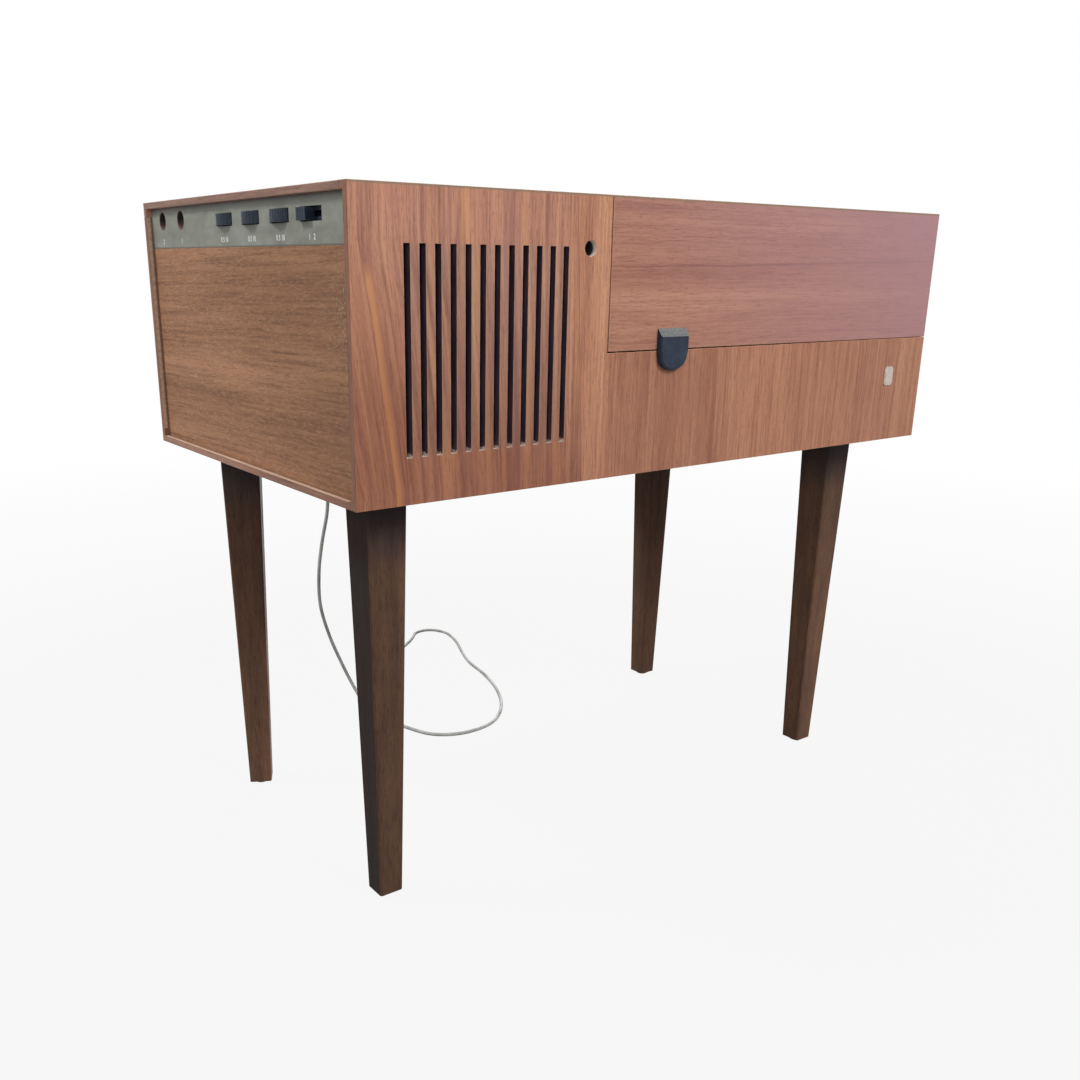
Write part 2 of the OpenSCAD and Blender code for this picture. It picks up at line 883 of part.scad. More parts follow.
module potentiometers() {
    bush_r = shaft_r + shaft_clearance + bush_wall;
    color(steel)
        for (place = [1 : 3])
            translate([wheel_x, front + window_first + place * window_pitch, shelf_top])
                difference() {
                    union() {
                        cylinder(r = pot_r, h = pot_height);
                        cylinder(r = bush_r, h = wheel_low - shelf_top - 1);
                        translate([0, -pot_r * 0.6, 0])
                            cube([pot_r + 5, pot_r * 1.2, 1.5]);
                    }
                    translate([0, 0, 1.5])
                        cylinder(r = shaft_r + shaft_clearance, h = wheel_low - shelf_top);
                }
}

tab_rest = front + window_first + window_width / 2 - 1 - tab_width;

module selector_tab() {
    tab_height = wheel_height;
    tab_depth = tab_proud + strip_sheet + switch_gap - running_gap;
    color(control_black)
        difference() {
            union() {
                translate([panel_x - tab_proud, tab_rest, window_z - tab_height / 2])
                    cube([tab_depth, tab_width, tab_height]);
                translate([
                    panel_x - tab_proud + tab_depth - 1,
                    tab_rest + (tab_width - stem_width) / 2, window_z - stem_height / 2
                ])
                    cube([stem_depth + 1, stem_width, stem_height]);
            }
            for (i = [-1 : 1])
                translate([
                    panel_x - tab_proud, tab_rest + tab_width / 2 + i * 3.4,
                    window_z - tab_height
                ])
                    rotate([0, 0, 45])
                        translate([-0.5, -0.5, 0])
                            cube([1, 1, 2 * tab_height]);
        }
}

module selector_switch() {
    body_x = strip_back + switch_gap;
    body_front = front + window_first - window_width / 2 - 3;
    slot_y = tab_rest + (tab_width - stem_width) / 2 - tab_travel - running_gap;
    color(strip_grey)
        difference() {
            translate([body_x, body_front, shelf_top])
                cube([switch_depth, window_width + 6, window_z + window_height / 2 - shelf_top]);
            translate([body_x - cut, slot_y, window_z - stem_height / 2 - running_gap])
                cube([
                    stem_depth + cut + 1, tab_travel + stem_width + 2 * running_gap,
                    stem_height + 2 * running_gap
                ]);
        }
}

// round five-way sockets that go in from behind and show in the strip's two holes
module aux_sockets() {
    insert = 4;
    color(hardboard)
        for (i = [0 : 1])
            translate([panel_x, rear - socket_first + i * socket_pitch, socket_z])
                difference() {
                    union() {
                        along_x(socket_r, socket_depth + insert);
                        translate([strip_sheet, 0, 0])
                            along_x(socket_r + 1.2, 1.5);
                    }
                    translate([-cut, 0, 0])
                        along_x(socket_bore_r, socket_depth + cut);
                    for (k = [0 : contact_count - 1])
                        rotate([k * 45 - 90, 0, 0])
                            translate([0, 0, 4.8])
                                along_x(contact_r, socket_depth + 2.5);
                }
}

// ---------------------------------------------------------------- amplifier

chassis_left = left + board + 17;
chassis_right = partition_left - 24;
chassis_depth = 180;
chassis_behind_leg = 18;
chassis_rear = rear - leg_from_rear - chassis_behind_leg;
chassis_front = chassis_rear - chassis_depth;
chassis_sheet = 1.2;
chassis_wall = 26;

core_length = 56;
core_depth = 24;
core_height = 48;
core_inset = 34;
winding_length = 32;
winding_depth = 44;
winding_height = 34;

module amp_chassis() {
    color(steel)
        difference() {
            translate([chassis_left, chassis_front, floor_top])
                cube([chassis_right - chassis_left, chassis_depth, chassis_wall]);
            translate([
                chassis_left + chassis_sheet, chassis_front + chassis_sheet,
                floor_top + chassis_sheet
            ])
                cube([
                    chassis_right - chassis_left - 2 * chassis_sheet,
                    chassis_depth - 2 * chassis_sheet, chassis_wall
                ]);
        }
}

// printed board on pillars with its capacitors, power transistors and their cooling plate
module amplifier_board() {
    inset = 8;
    board_x = chassis_left + inset;
    board_y = chassis_front + inset;
    size_x = chassis_right - chassis_left - 2 * inset;
    size_y = 88;
    pillar = 8;
    sheet = 1.6;
    low = floor_top + chassis_sheet;
    color([0.55, 0.42, 0.22]) {
        translate([board_x, board_y, low + pillar])
            cube([size_x, size_y, sheet]);
        for (x = [5, size_x - 5], y = [5, size_y - 5])
            translate([board_x + x, board_y + y, low])
                cylinder(r = 3, h = pillar);
        for (i = [0 : 3])
            translate([board_x + 20 + i * 24, board_y + 24, low + pillar + sheet])
                cylinder(r = i < 2 ? 9 : 6, h = i < 2 ? 28 : 18);
        for (i = [0 : 4])
            translate([board_x + 18 + i * 20, board_y + 50, low + pillar + sheet])
                cylinder(r = 3.5, h = 11);
        translate([board_x + 16, board_y + 70, low + pillar + sheet])
            cube([size_x - 32, 2, 30]);
    }
}

module mains_transformer() {
    place = [
        (chassis_left + chassis_right) / 2, chassis_rear - core_inset, floor_top + chassis_sheet
    ];
    color([0.45, 0.40, 0.34])
        translate(place) {
            translate([-core_length / 2, -core_depth / 2, 0])
                cube([core_length, core_depth, core_height]);
            translate([-winding_length / 2, -winding_depth / 2, (core_height - winding_height) / 2])
                cube([winding_length, winding_depth, winding_height]);
        }
}

// lamp in a tube behind the round hole of the front, on a foot that holds to the partition
module pilot_lamp() {
    tube_r = 7.4;
    depth = 22;
    color(steel)
        translate([lamp_x, inner_front, lamp_z])
            difference() {
                union() {
                    along_y(tube_r, depth);
                    translate([0, 4, -tube_r + 2])
                        cube([partition_left - lamp_x, depth - 6, 2 * tube_r - 4]);
                }
                difference() {
                    translate([0, -cut, 0])
                        along_y(tube_r - 2, depth - 3 + cut);
                    translate([0, depth - 10, 0])
                        sphere(r = 4);
                    translate([0, depth - 10, 0])
                        along_y(3.2, 10);
                }
            }
}

// ---------------------------------------------------------------- loudspeaker

module baffle_sheet(from, thick) {
    translate([baffle_left, from, floor_top + 1])
        cube([baffle_right - baffle_left, thick, ceiling - floor_top - 2]);
}

module sound_cloth() {
    color(rubber_black)
        baffle_sheet(inner_front, cloth);
}

module speaker_baffle() {
    color(softwood)
        difference() {
            baffle_sheet(inner_front + cloth, baffle);
            translate([speaker_x, inner_front + cloth - cut, speaker_z])
                along_y(speaker_hole, baffle + 2 * cut);
        }
}

// pressed basket with four openings, and the magnet behind it
module speaker_frame() {
    mouth = speaker_r - mouth_setback;
    neck = speaker_depth - magnet_height;
    color(steel)
        translate([speaker_x, baffle_back, speaker_z])
            rotate([-90, 0, 0]) {
                difference() {
                    rotate_extrude($fn = 64)
                        polygon([
                            [mouth, cone_seat], [speaker_r - 12, cone_seat], [speaker_r - 12, 0],
                            [speaker_r, 0], [speaker_r, flange], [speaker_r - 8, flange],
                            [magnet_r, neck], [magnet_r - 14, neck], [magnet_r - 14, neck - 2],
                            [magnet_r - 2, neck - 2], [mouth, flange + 4]
                        ]);
                    for (i = [0 : 3])
                        rotate([0, 0, 45 + 90 * i])
                            translate([magnet_r + 3, -16, flange + 8])
                                cube([speaker_r, 32, neck - flange - 20]);
                }
                translate([0, 0, neck])
                    cylinder(r = magnet_r, h = magnet_height);
            }
}

// paper cone with its rim on the frame's step, and a dust cap at its centre
module speaker_cone() {
    rim = speaker_r - 12.4;
    lip_r = speaker_r - cone_edge;
    deep = 26;
    paper = 0.9;
    color(rubber_black)
        translate([speaker_x, baffle_back, speaker_z])
            rotate([-90, 0, 0])
                rotate_extrude($fn = 64)
                    polygon([
                        [rim, cone_seat - paper], [rim, cone_seat], [lip_r - 1, cone_seat],
                        [16, deep], [14, deep - 3], [6, deep - 7], [0, deep - 8],
                        [0, deep - 8 - paper], [6, deep - 7 - paper], [15, deep - 4.5],
                        [lip_r - 2, cone_seat - paper]
                    ]);
}

// ---------------------------------------------------------------- record deck

// pressed deck plate: a shallow pan turned over, with a raised ring round the platter
module deck_plate() {
    size_x = deck_right - deck_left;
    size_y = deck_rear - deck_front;
    corner = 10;
    color(deck_grey)
        difference() {
            union() {
                translate([deck_left, deck_front, deck_top - deck_skirt])
                    linear_extrude(deck_skirt)
                        rounded_outline(size_x, size_y, corner);
                translate([spindle_x, 0, deck_top - cut])
                    cylinder(r = platter_r + ring_gap + ring_width, h = cut + ring_height, $fn = 96);
                translate([idler_x, idler_y, deck_top - cut])
                    cylinder(r = idler_bearing_r + 3, h = cut + idler_low - deck_top - 0.4);
                translate([idler_x, idler_y, deck_top - cut])
                    cylinder(r = idler_bearing_r, h = cut + idler_low - deck_top + 5);
            }
            translate([deck_left + deck_sheet, deck_front + deck_sheet, deck_top - deck_skirt - cut])
                linear_extrude(deck_skirt - deck_sheet + cut)
                    rounded_outline(size_x - 2 * deck_sheet, size_y - 2 * deck_sheet, corner - 2);
            difference() {
                translate([spindle_x, 0, deck_top])
                    cylinder(r = platter_r + ring_gap, h = 2 * ring_height, $fn = 96);
                translate([idler_x, idler_y, deck_top - cut])
                    cylinder(r = idler_bearing_r + 3, h = 20);
            }
            translate([spindle_x, 0, deck_under - cut])
                cylinder(r = bearing_r + 0.1, h = deck_sheet + 2 * cut);
            translate([pulley_x, pulley_y, deck_under - cut])
                cylinder(r = 9, h = deck_sheet + 2 * cut);
            translate([arm_pivot_x, arm_y, deck_under - cut])
                cylinder(r = post_r - 3.9, h = deck_sheet + 2 * cut);
            translate([knob_x, knob_y, deck_under - cut])
                cylinder(r = shaft_r + shaft_clearance, h = deck_sheet + 2 * cut);
            for (x = [bay_left + mount_inset, bay_right - mount_inset], y = [-mount_y, mount_y])
                translate([x, y, deck_under - cut])
                    cylinder(r = mount_screw_r + 0.2, h = deck_sheet + 2 * cut);
        }
}

// waisted rubber mounts on the bearers, each with its headed screw through the deck plate
module deck_mounts() {
    tall = deck_under - batten_top;
    color(rubber_black)
        for (x = [bay_left + mount_inset, bay_right - mount_inset], y = [-mount_y, mount_y])
            translate([x, y, batten_top])
                rotate_extrude()
                    polygon([
                        [0, 0], [mount_r, 0], [mount_r, 3], [mount_waist, 6],
                        [mount_waist, tall - 6], [mount_r, tall - 3], [mount_r, tall],
                        [mount_screw_r, tall], [mount_screw_r, tall + deck_sheet],
                        [mount_screw_r + 3, tall + deck_sheet],
                        [mount_screw_r + 2, tall + deck_sheet + 2], [0, tall + deck_sheet + 2]
                    ]);
}

// shaded pole motor, hung from the deck plate on three pillars
module motor() {
    color([0.4, 0.38, 0.36])
        translate([pulley_x, pulley_y, 0])
            difference() {
                union() {
                    translate([0, 0, motor_top - motor_height])
                        cylinder(r = motor_r - 6, h = motor_height);
                    translate([-motor_r, -motor_r * 0.8, motor_top - motor_height + 10])
                        cube([2 * motor_r, motor_r * 1.6, motor_height - 22]);
                    translate([0, 0, motor_top - 3])
                        cylinder(r = motor_r, h = 3);
                    for (a = [0, 120, 240])
                        rotate([0, 0, a])
                            translate([motor_r - 5, 0, motor_top])
                                cylinder(r = 4, h = deck_under - motor_top);
                }
                translate([0, 0, motor_top - motor_height + 2])
                    cylinder(r = motor_shaft_r + shaft_clearance, h = motor_height);
            }
}

// motor shaft with the stepped pulley on top, thickest for the fastest speed
module motor_pulley() {
    tread = idler_tread + 1;
    low = idler_low - 0.5;
    color("goldenrod")
        translate([pulley_x, pulley_y, 0]) {
            translate([0, 0, motor_top - motor_height + 3])
                cylinder(r = motor_shaft_r, h = low - 5 - motor_top + motor_height - 3);
            translate([0, 0, low - 5])
                cylinder(r = pulley_r * 2.36, h = 5 - running_gap);
            translate([0, 0, low - 5])
                cylinder(r = pulley_r, h = 5 + tread);
            translate([0, 0, low + tread])
                cylinder(r = pulley_r * 0.5, h = 3);
        }
}

module idler_wheel() {
    color(rubber_black)
        translate([idler_x, idler_y, idler_low])
            rotate_extrude($fn = 72)
                polygon([
                    [idler_bearing_r + shaft_clearance, 0], [5, 0], [5, 0.9], [idler_r - 4, 0.9],
                    [idler_r - 4, 0], [idler_r, 0.6], [idler_r, idler_tread - 0.6],
                    [idler_r - 4, idler_tread], [idler_r - 4, 2.1], [5, 2.1], [5, idler_tread + 1.5],
                    [idler_bearing_r + shaft_clearance, idler_tread + 1.5]
                ]);
}

// cast platter: web, hub and a deep rim with a stepped edge
module platter() {
    web_low = platter_rise - platter_web;
    rim_low = platter_rise - platter_skirt;
    color([0.78, 0.79, 0.80])
        translate([spindle_x, 0, deck_top])
            rotate_extrude($fn = 96)
                polygon([
                    [spindle_r, web_low - 6], [12, web_low - 6], [14, web_low], [rim_in, web_low],
                    [rim_in, rim_low], [platter_r - 2, rim_low], [platter_r - 1, rim_low + 1],
                    [platter_r - 1, rim_low + 5], [platter_r, rim_low + 6],
                    [platter_r, platter_rise - 1.5], [platter_r - 1.5, platter_rise],
                    [spindle_r, platter_rise]
                ]);
}

// rubber mat with round ribs, and a hollow for a record's label
module platter_mat() {
    ribs = 8;
    rib_pitch = 9;
    rib_first = 52;
    color(rubber_black)
        translate([spindle_x, 0, platter_top])
            rotate_extrude($fn = 96)
                difference() {
                    translate([spindle_r + 0.4, 0])
                        square([platter_r - 3 - spindle_r - 0.4, mat]);
                    for (i = [0 : ribs - 1])
                        translate([rib_first + i * rib_pitch, mat - 1.2])
                            square([4.5, 2]);
                    translate([12, mat - 0.8])
                        square([36, 2]);
                }
}

// centre spindle: a shaft in the bearing, and the thinner part that a record sits on
module spindle() {
    shoulder = mat_top - bearing_low - 4.3;
    dome = 2;
    color(steel)
        translate([spindle_x, 0, bearing_low + 4.3]) {
            cylinder(r = spindle_r, h = shoulder);
            translate([0, 0, shoulder - 1])
                cylinder(r = spindle_tip_r, h = spindle_above - dome + 1);
            translate([0, 0, shoulder + spindle_above - dome])
                cylinder(r1 = spindle_tip_r, r2 = spindle_tip_r - 1.6, h = dome);
        }
}

// bush that carries the spindle, closed below, with a flange on the deck plate
module spindle_bearing() {
    color("goldenrod")
        translate([spindle_x, 0, 0])
            difference() {
                union() {
                    translate([0, 0, bearing_low])
                        cylinder(r = bearing_r, h = deck_top - bearing_low + 5);
                    translate([0, 0, deck_top])
                        cylinder(r = bearing_flange_r, h = 2);
                }
                translate([0, 0, bearing_low + 4])
                    cylinder(r = spindle_r + shaft_clearance, h = deck_top - bearing_low + 5);
            }
}

// ---------------------------------------------------------------- pickup arm

module at_pivot(z) {
    translate([arm_pivot_x, arm_y, z])
        children();
}

module tonearm_post() {
    color(steel)
        at_pivot(deck_under)
            difference() {
                union() {
                    cylinder(r = post_r - 4, h = yoke_low - deck_under - 1);
                    translate([0, 0, deck_sheet])
                        cylinder(r = post_r + 8, h = 3);
                    translate([0, 0, deck_sheet])
                        cylinder(r = post_r, h = yoke_low - deck_top - 1);
                }
                translate([0, 0, 3])
                    cylinder(r = yoke_shaft_r + shaft_clearance, h = yoke_low - deck_under);
            }
}

// fork on a vertical shaft, with a bearing hole through each ear for the arm's axle
module tonearm_yoke() {
    ear_tall = arm_z - yoke_low + 5;
    width = 2 * (yoke_gap + yoke_ear);
    color(steel)
        difference() {
            union() {
                at_pivot(deck_under + 4)
                    cylinder(r = yoke_shaft_r, h = yoke_low - deck_under - 4);
                at_pivot(yoke_low)
                    cylinder(r = post_r, h = 3);
                for (side = [-1, 1])
                    at_pivot(yoke_low)
                        translate([side * (yoke_gap + yoke_ear / 2) - yoke_ear / 2, -5, 0])
                            cube([yoke_ear, 10, ear_tall]);
            }
            at_pivot(arm_z)
                translate([-width, 0, 0])
                    along_x(axle_r + shaft_clearance, 2 * width);
        }
}

// arm tube with its axle, balance weight and head shell; at rest it points to the front
module tonearm() {
    tube = arm_length - head_length * 0.45;
    color(steel)
        at_pivot(arm_z) {
            translate([0, -tube, 0])
                along_y(arm_r, tube + weight_start + 4);
            translate([0, weight_start, 0])
                along_y(weight_r, weight_length);
            translate([-yoke_gap - yoke_ear - 0.5, 0, 0])
                along_x(axle_r, 2 * (yoke_gap + yoke_ear + 0.5));
            translate([-yoke_gap + 1, 0, 0])
                along_x(6, 2 * (yoke_gap - 1));
            translate([0, -tube, 0])
                rotate([0, 0, -head_angle])
                    head_shell();
        }
}

// head shell: a shallow tray open below, narrowing to the tube, with a finger lift
module head_shell() {
    sheet = 1.5;
    difference() {
        translate([0, 0, -head_height / 2])
            linear_extrude(head_height)
                polygon([
                    [-head_width / 2, -head_length + 10], [-head_width / 2 + 3, -head_length + 4],
                    [head_width / 2 - 3, -head_length + 4], [head_width / 2, -head_length + 10],
                    [arm_r + 1.5, 4], [-arm_r - 1.5, 4]
                ]);
        translate([0, 0, -head_height / 2 - cut])
            linear_extrude(head_height - sheet + cut)
                polygon([
                    [-head_width / 2 + sheet, -head_length + 10],
                    [-head_width / 2 + 4, -head_length + 4 + sheet],
                    [head_width / 2 - 4, -head_length + 4 + sheet],
                    [head_width / 2 - sheet, -head_length + 10],
                    [head_width / 2 - sheet - 2, -10], [-head_width / 2 + sheet + 2, -10]
                ]);
    }
    translate([head_width / 2 - 1, -head_length + 10, head_height / 2 - 2])
        cube([11, 5, 1.4]);
}

module pickup_cartridge() {
    tube = arm_length - head_length * 0.45;
    body = [12, 20];
    body_top = head_height / 2 - 1.5;
    body_low = mat_top + stylus_gap + 3 - arm_z;
    color(control_black)
        at_pivot(arm_z)
            translate([0, -tube, 0])
                rotate([0, 0, -head_angle]) {
                    translate([-body[0] / 2, -head_length + 8, body_low])
                        cube([body[0], body[1], body_top - body_low]);
                    translate([0, -head_length + 14, body_low - 3])
                        cylinder(r1 = 0.4, r2 = 1.4, h = 3, $fn = 16);
                }
}

// rest for the arm: a post with a shelf under the tube and a horn on its outer side
module arm_rest() {
    shelf = arm_z - arm_r - running_gap;
    color(control_black)
        translate([arm_pivot_x, arm_y - rest_from_pivot, 0]) {
            translate([0, 0, deck_top])
                cylinder(r = 8, h = 2.5);
            translate([0, 0, deck_top])
                cylinder(r = 4, h = shelf - deck_top - 1);
            translate([-6, -4, shelf - 3])
                cube([14, 8, 3]);
            translate([arm_r + running_gap + 0.5, -4, shelf - 3])
                cube([3, 8, 9]);
        }
}

// speed knob with a pointer fin, on a shaft through the deck plate
module speed_knob() {
    color(control_black)
        translate([knob_x, knob_y, 0]) {
            translate([0, 0, deck_top + running_gap])
                cylinder(r1 = knob_r, r2 = knob_r - 1.5, h = 4);
            translate([-3, -knob_r + 1, deck_top + running_gap + 4])
                cube([6, 2 * knob_r - 2, 7]);
            translate([0, 0, deck_under - 14])
                cylinder(r = shaft_r, h = deck_sheet + 15);
        }
}

// ---------------------------------------------------------------- mains lead

// strain relief in the back cover, tapered towards the lead
module cord_gland() {
    inside = 3;
    color(rubber_black)
        translate([gland_x, cover_back, gland_z]) {
            translate([0, -cover_sheet - inside, 0])
                along_y(gland_r + 2, inside);
            translate([0, -cover_sheet, 0])
                along_y(gland_r, cover_sheet);
            along_y(gland_r + 2, 2.4);
            translate([0, 2.4, 0])
                rotate([-90, 0, 0])
                    cylinder(r1 = gland_r - 0.5, r2 = cord_r + 0.9, h = gland_length - 2);
        }
}

function unit(v) = v / norm(v);

// a point on the smooth curve through the route, between points i and i + 1
function smooth_point(p, i, t) =
    let (last = len(p) - 1,
         a = p[max(i - 1, 0)], b = p[i], c = p[min(i + 1, last)], d = p[min(i + 2, last)])
    0.5 * (2 * b + (c - a) * t + (2 * a - 5 * b + 4 * c - d) * t * t
        + (3 * b - a - 3 * c + d) * t * t * t);

function smooth_path(p, steps) = [
    for (i = [0 : len(p) - 2], s = [0 : steps - 1]) smooth_point(p, i, s / steps),
    p[len(p) - 1]
];

function direction(p, i) =
    unit(p[min(i + 1, len(p) - 1)] - p[max(i - 1, 0)]);

// a side vector at right angles to the path, carried along from ring to ring
function carried(path, i, side) =
    i == len(path) ? [] :
    let (d = direction(path, i), s = unit(side - d * (side * d)))
    concat([s], carried(path, i + 1, s));

module tube(path, r, sides, first_side) {
    rings = len(path);
    frames = carried(path, 0, first_side);
    points = [
        for (i = [0 : rings - 1])
            let (d = direction(path, i), s = frames[i], t = cross(d, s))
                for (k = [0 : sides - 1])
                    let (a = (k + 0.5) * 360 / sides)
                        path[i] + r * (s * cos(a) + t * sin(a))
    ];
    faces = [
        [for (k = [sides - 1 : -1 : 0]) k],
        for (i = [0 : rings - 2], k = [0 : sides - 1])
            [i * sides + k, i * sides + (k + 1) % sides, (i + 1) * sides + (k + 1) % sides],
        for (i = [0 : rings - 2], k = [0 : sides - 1])
            [i * sides + k, (i + 1) * sides + (k + 1) % sides, (i + 1) * sides + k],
        [for (k = [0 : sides - 1]) (rings - 1) * sides + k]
    ];
    polyhedron(points, [for (f = faces) [for (j = [len(f) - 1 : -1 : 0]) f[j]]]);
}

module mains_cord() {
    color(cord_grey)
        tube(smooth_path(CORD_POINTS, CORD_STEPS), cord_r, CORD_SIDES, [1, 0, 0]);
}

// the coil goes in on the lower layer, climbs where it turns back, and comes out on the upper
coil_turn_back = coil_loops / 2;
function coil_radius(t) = coil_r - coil_pitch * min(t, coil_loops - t);
function coil_climb(t) = min(1, max(0, (t - coil_turn_back + 0.25) / 0.5));
function coil_point(t) =
    let (a = 90 + 360 * t)
    [
        COIL_CENTRE[0] + coil_radius(t) * cos(a), COIL_CENTRE[1] + coil_radius(t) * sin(a),
        cord_r + floor_lift + coil_pitch * coil_climb(t)
    ];
coil_path = [
    coil_point(0) + [cord_d, 0, 0],
    for (i = [0 : coil_loops * COIL_RINGS]) coil_point(i / COIL_RINGS),
    coil_point(coil_loops) - [0, coil_tail, 0]
];

// least distance between parts of the coil's path that are over half a loop apart
coil_far = COIL_RINGS / 2;
coil_least = min([
    for (i = [0 : len(coil_path) - 1 - coil_far], j = [i + coil_far : len(coil_path) - 1])
        norm(coil_path[i] - coil_path[j])
]);
cord_route = smooth_path(CORD_POINTS, CORD_STEPS);
function path_length(p) = let (n = len(p) - 2) sum_list([for (i = [0 : n]) norm(p[i + 1] - p[i])]);
function sum_list(v, i = 0) = i == len(v) ? 0 : v[i] + sum_list(v, i + 1);
echo(coil_least_gap = coil_least - cord_d);
echo(lead_length = path_length(cord_route) + path_length(coil_path));

module cord_coil() {
    color(cord_grey)
        tube(coil_path, cord_r, COIL_SIDES, [0, 0, 1]);
}

// flat two-pin plug, lying on its side of the coil
module mains_plug() {
    start = coil_path[len(coil_path) - 1];
    thick = 2 * start[2] - 0.4;
    color(control_black)
        translate(start) rotate([0, 0, -90]) {
            along_x(cord_r + 1.4, plug_sleeve);
            translate([plug_sleeve, 0, -thick / 2])
                linear_extrude(thick)
                    polygon([
                        [0, -plug_width / 4], [6, -plug_width / 2], [plug_length - 3, -plug_width / 2],
                        [plug_length, -plug_width / 2 + 3], [plug_length, plug_width / 2 - 3],
                        [plug_length - 3, plug_width / 2], [6, plug_width / 2], [0, plug_width / 4]
                    ]);
            for (side = [-1, 1])
                translate([plug_sleeve + plug_length, side * plug_pin_spread, 0])
                    along_x(plug_pin_r, plug_pin_length);
        }
}

// ---------------------------------------------------------------- the pieces

front_board();
top_board();
bottom_board();
rear_board();
right_end_board();
partition();
end_panel();
control_strip();
back_cover();
battens();
leg_front_left();
leg_front_right();
leg_rear_left();
leg_rear_right();
leg_glides();
leg_bolts();
lid_top();
lid_front();
lid_side();
lid_pull();
lid_hinge_leaves();
case_hinge_leaves();
hinge_pins();
stay_arm();
stay_bracket();
stay_stud();
volume_wheel();
bass_wheel();
treble_wheel();
potentiometers();
selector_tab();
selector_switch();
aux_sockets();
amp_chassis();
amplifier_board();
mains_transformer();
pilot_lamp();
sound_cloth();
speaker_baffle();
speaker_frame();
speaker_cone();
deck_plate();
deck_mounts();
motor();
motor_pulley();
idler_wheel();
platter();
platter_mat();
spindle();
spindle_bearing();
tonearm_post();
tonearm_yoke();
tonearm();
pickup_cartridge();
arm_rest();
speed_knob();
cord_gland();
mains_cord();
cord_coil();
mains_plug();
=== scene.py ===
from math import cos, pi, radians, sin

import bmesh
import bpy
from mathutils import Matrix, Vector


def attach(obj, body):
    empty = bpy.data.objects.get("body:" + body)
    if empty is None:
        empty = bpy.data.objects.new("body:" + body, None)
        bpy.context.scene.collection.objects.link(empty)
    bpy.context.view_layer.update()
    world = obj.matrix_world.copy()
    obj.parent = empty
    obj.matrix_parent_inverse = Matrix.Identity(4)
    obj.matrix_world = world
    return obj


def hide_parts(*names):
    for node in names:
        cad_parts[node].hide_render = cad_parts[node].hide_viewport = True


# A record player cabinet on four legs, in teak veneer: slotted loudspeaker front at the left,
# control strip in the left end, and a hinged lid over the record deck at the right. Metres, +Z up.
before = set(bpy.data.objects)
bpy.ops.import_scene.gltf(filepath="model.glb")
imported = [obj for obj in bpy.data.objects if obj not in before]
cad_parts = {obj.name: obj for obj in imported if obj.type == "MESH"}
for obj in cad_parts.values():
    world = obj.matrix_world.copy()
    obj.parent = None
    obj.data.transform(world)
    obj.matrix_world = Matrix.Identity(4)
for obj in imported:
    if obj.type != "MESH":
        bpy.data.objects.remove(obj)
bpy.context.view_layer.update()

# ---- viewpoint
# The photograph is taken by hand from beyond the front left corner, a little lower than the
# lid, looking down at the legs. The frame is cut from a larger one, hence the small shift.
def placed(name, data):
    """A mesh, curve, lamp or camera as an object of the scene."""
    thing = bpy.data.objects.new(name, data)
    bpy.context.scene.collection.objects.link(thing)
    return thing


yaw, pitch, roll = 0.630544, 0.310877, -0.008593
ahead = Vector((sin(yaw) * cos(pitch), cos(yaw) * cos(pitch), -sin(pitch)))
level = Vector((cos(yaw), -sin(yaw), 0))
down = ahead.cross(level)
across = level * cos(roll) + down * sin(roll)
below = down * cos(roll) - level * sin(roll)
lens = bpy.data.cameras.new("viewpoint")
lens.sensor_width = 36
lens.lens = 35.486
lens.shift_x = 0.0439
lens.shift_y = 0.0628
lens.clip_start = 0.01
viewpoint = placed("viewpoint", lens)
viewpoint.matrix_world = (
    Matrix.Translation((-0.67192, -0.82541, 0.51477))
    @ Matrix((across, -below, -ahead)).transposed().to_4x4()
)
bpy.context.scene.camera = viewpoint
bpy.context.scene.view_settings.view_transform = "Standard"


# ---- floor and light
# A pale floor runs out to a white surround that lights softly from all round. A broad lamp
# stands high in front, a small one high at the left rear, and two fill in front left and rear right.
def colour(red, green, blue):
    """A colour read off a chart, 0 to 255, as the linear values that the shaders take."""
    chart = [value / 255 for value in (red, green, blue)]
    return (*[v / 12.92 if v < 0.04045 else ((v + 0.055) / 1.055) ** 2.4 for v in chart], 1.0)


class Pattern:
    """A value or a colour that varies over a surface."""

    def __init__(self, tree, socket):
        self.tree = tree
        self.socket = socket

    def math(self, operation, other=0.0):
        return self.tree.pattern("Math", [self, other], operation=operation)

    def __add__(self, other):
        return self.math("ADD", other)

    def __sub__(self, other):
        return self.math("SUBTRACT", other)

    def __mul__(self, other):
        return self.math("MULTIPLY", other)

    def span(self, low, high, start=0.0, end=1.0):
        """The value from low to high, spread from start to end and held there."""
        return self.tree.pattern("MapRange", [self, low, high, start, end])

    def waves(self, pitch):
        """A wave between -1 and 1 at every pitch of the value."""
        return (self * (2 * pi / pitch)).math("SINE")

    def lines(self, pitch):
        """Fine lines side by side, as a lathe tool leaves them."""
        return self.tree.pattern("TexNoise", {"W": self, "Scale": 1 / pitch}, noise_dimensions="1D")

    def ramp(self, *stops):
        """A run of colours of the chart, each after its position from 0 to 1."""
        run = self.tree.pattern("ValToRGB", [self])
        elements = run.socket.node.color_ramp.elements
        while len(elements) < len(stops):
            elements.new(0.5)
        for element, (position, *tint) in zip(elements, stops):
            element.position = position
            element.color = colour(*tint)
        return run

    def mix(self, share, other, mode="MIX"):
        """This colour with another one over it, by a share."""
        return self.tree.pattern("Mix", {"Factor": share, 6: self, 7: other}, 2,
                                 data_type="RGBA", blend_type=mode)


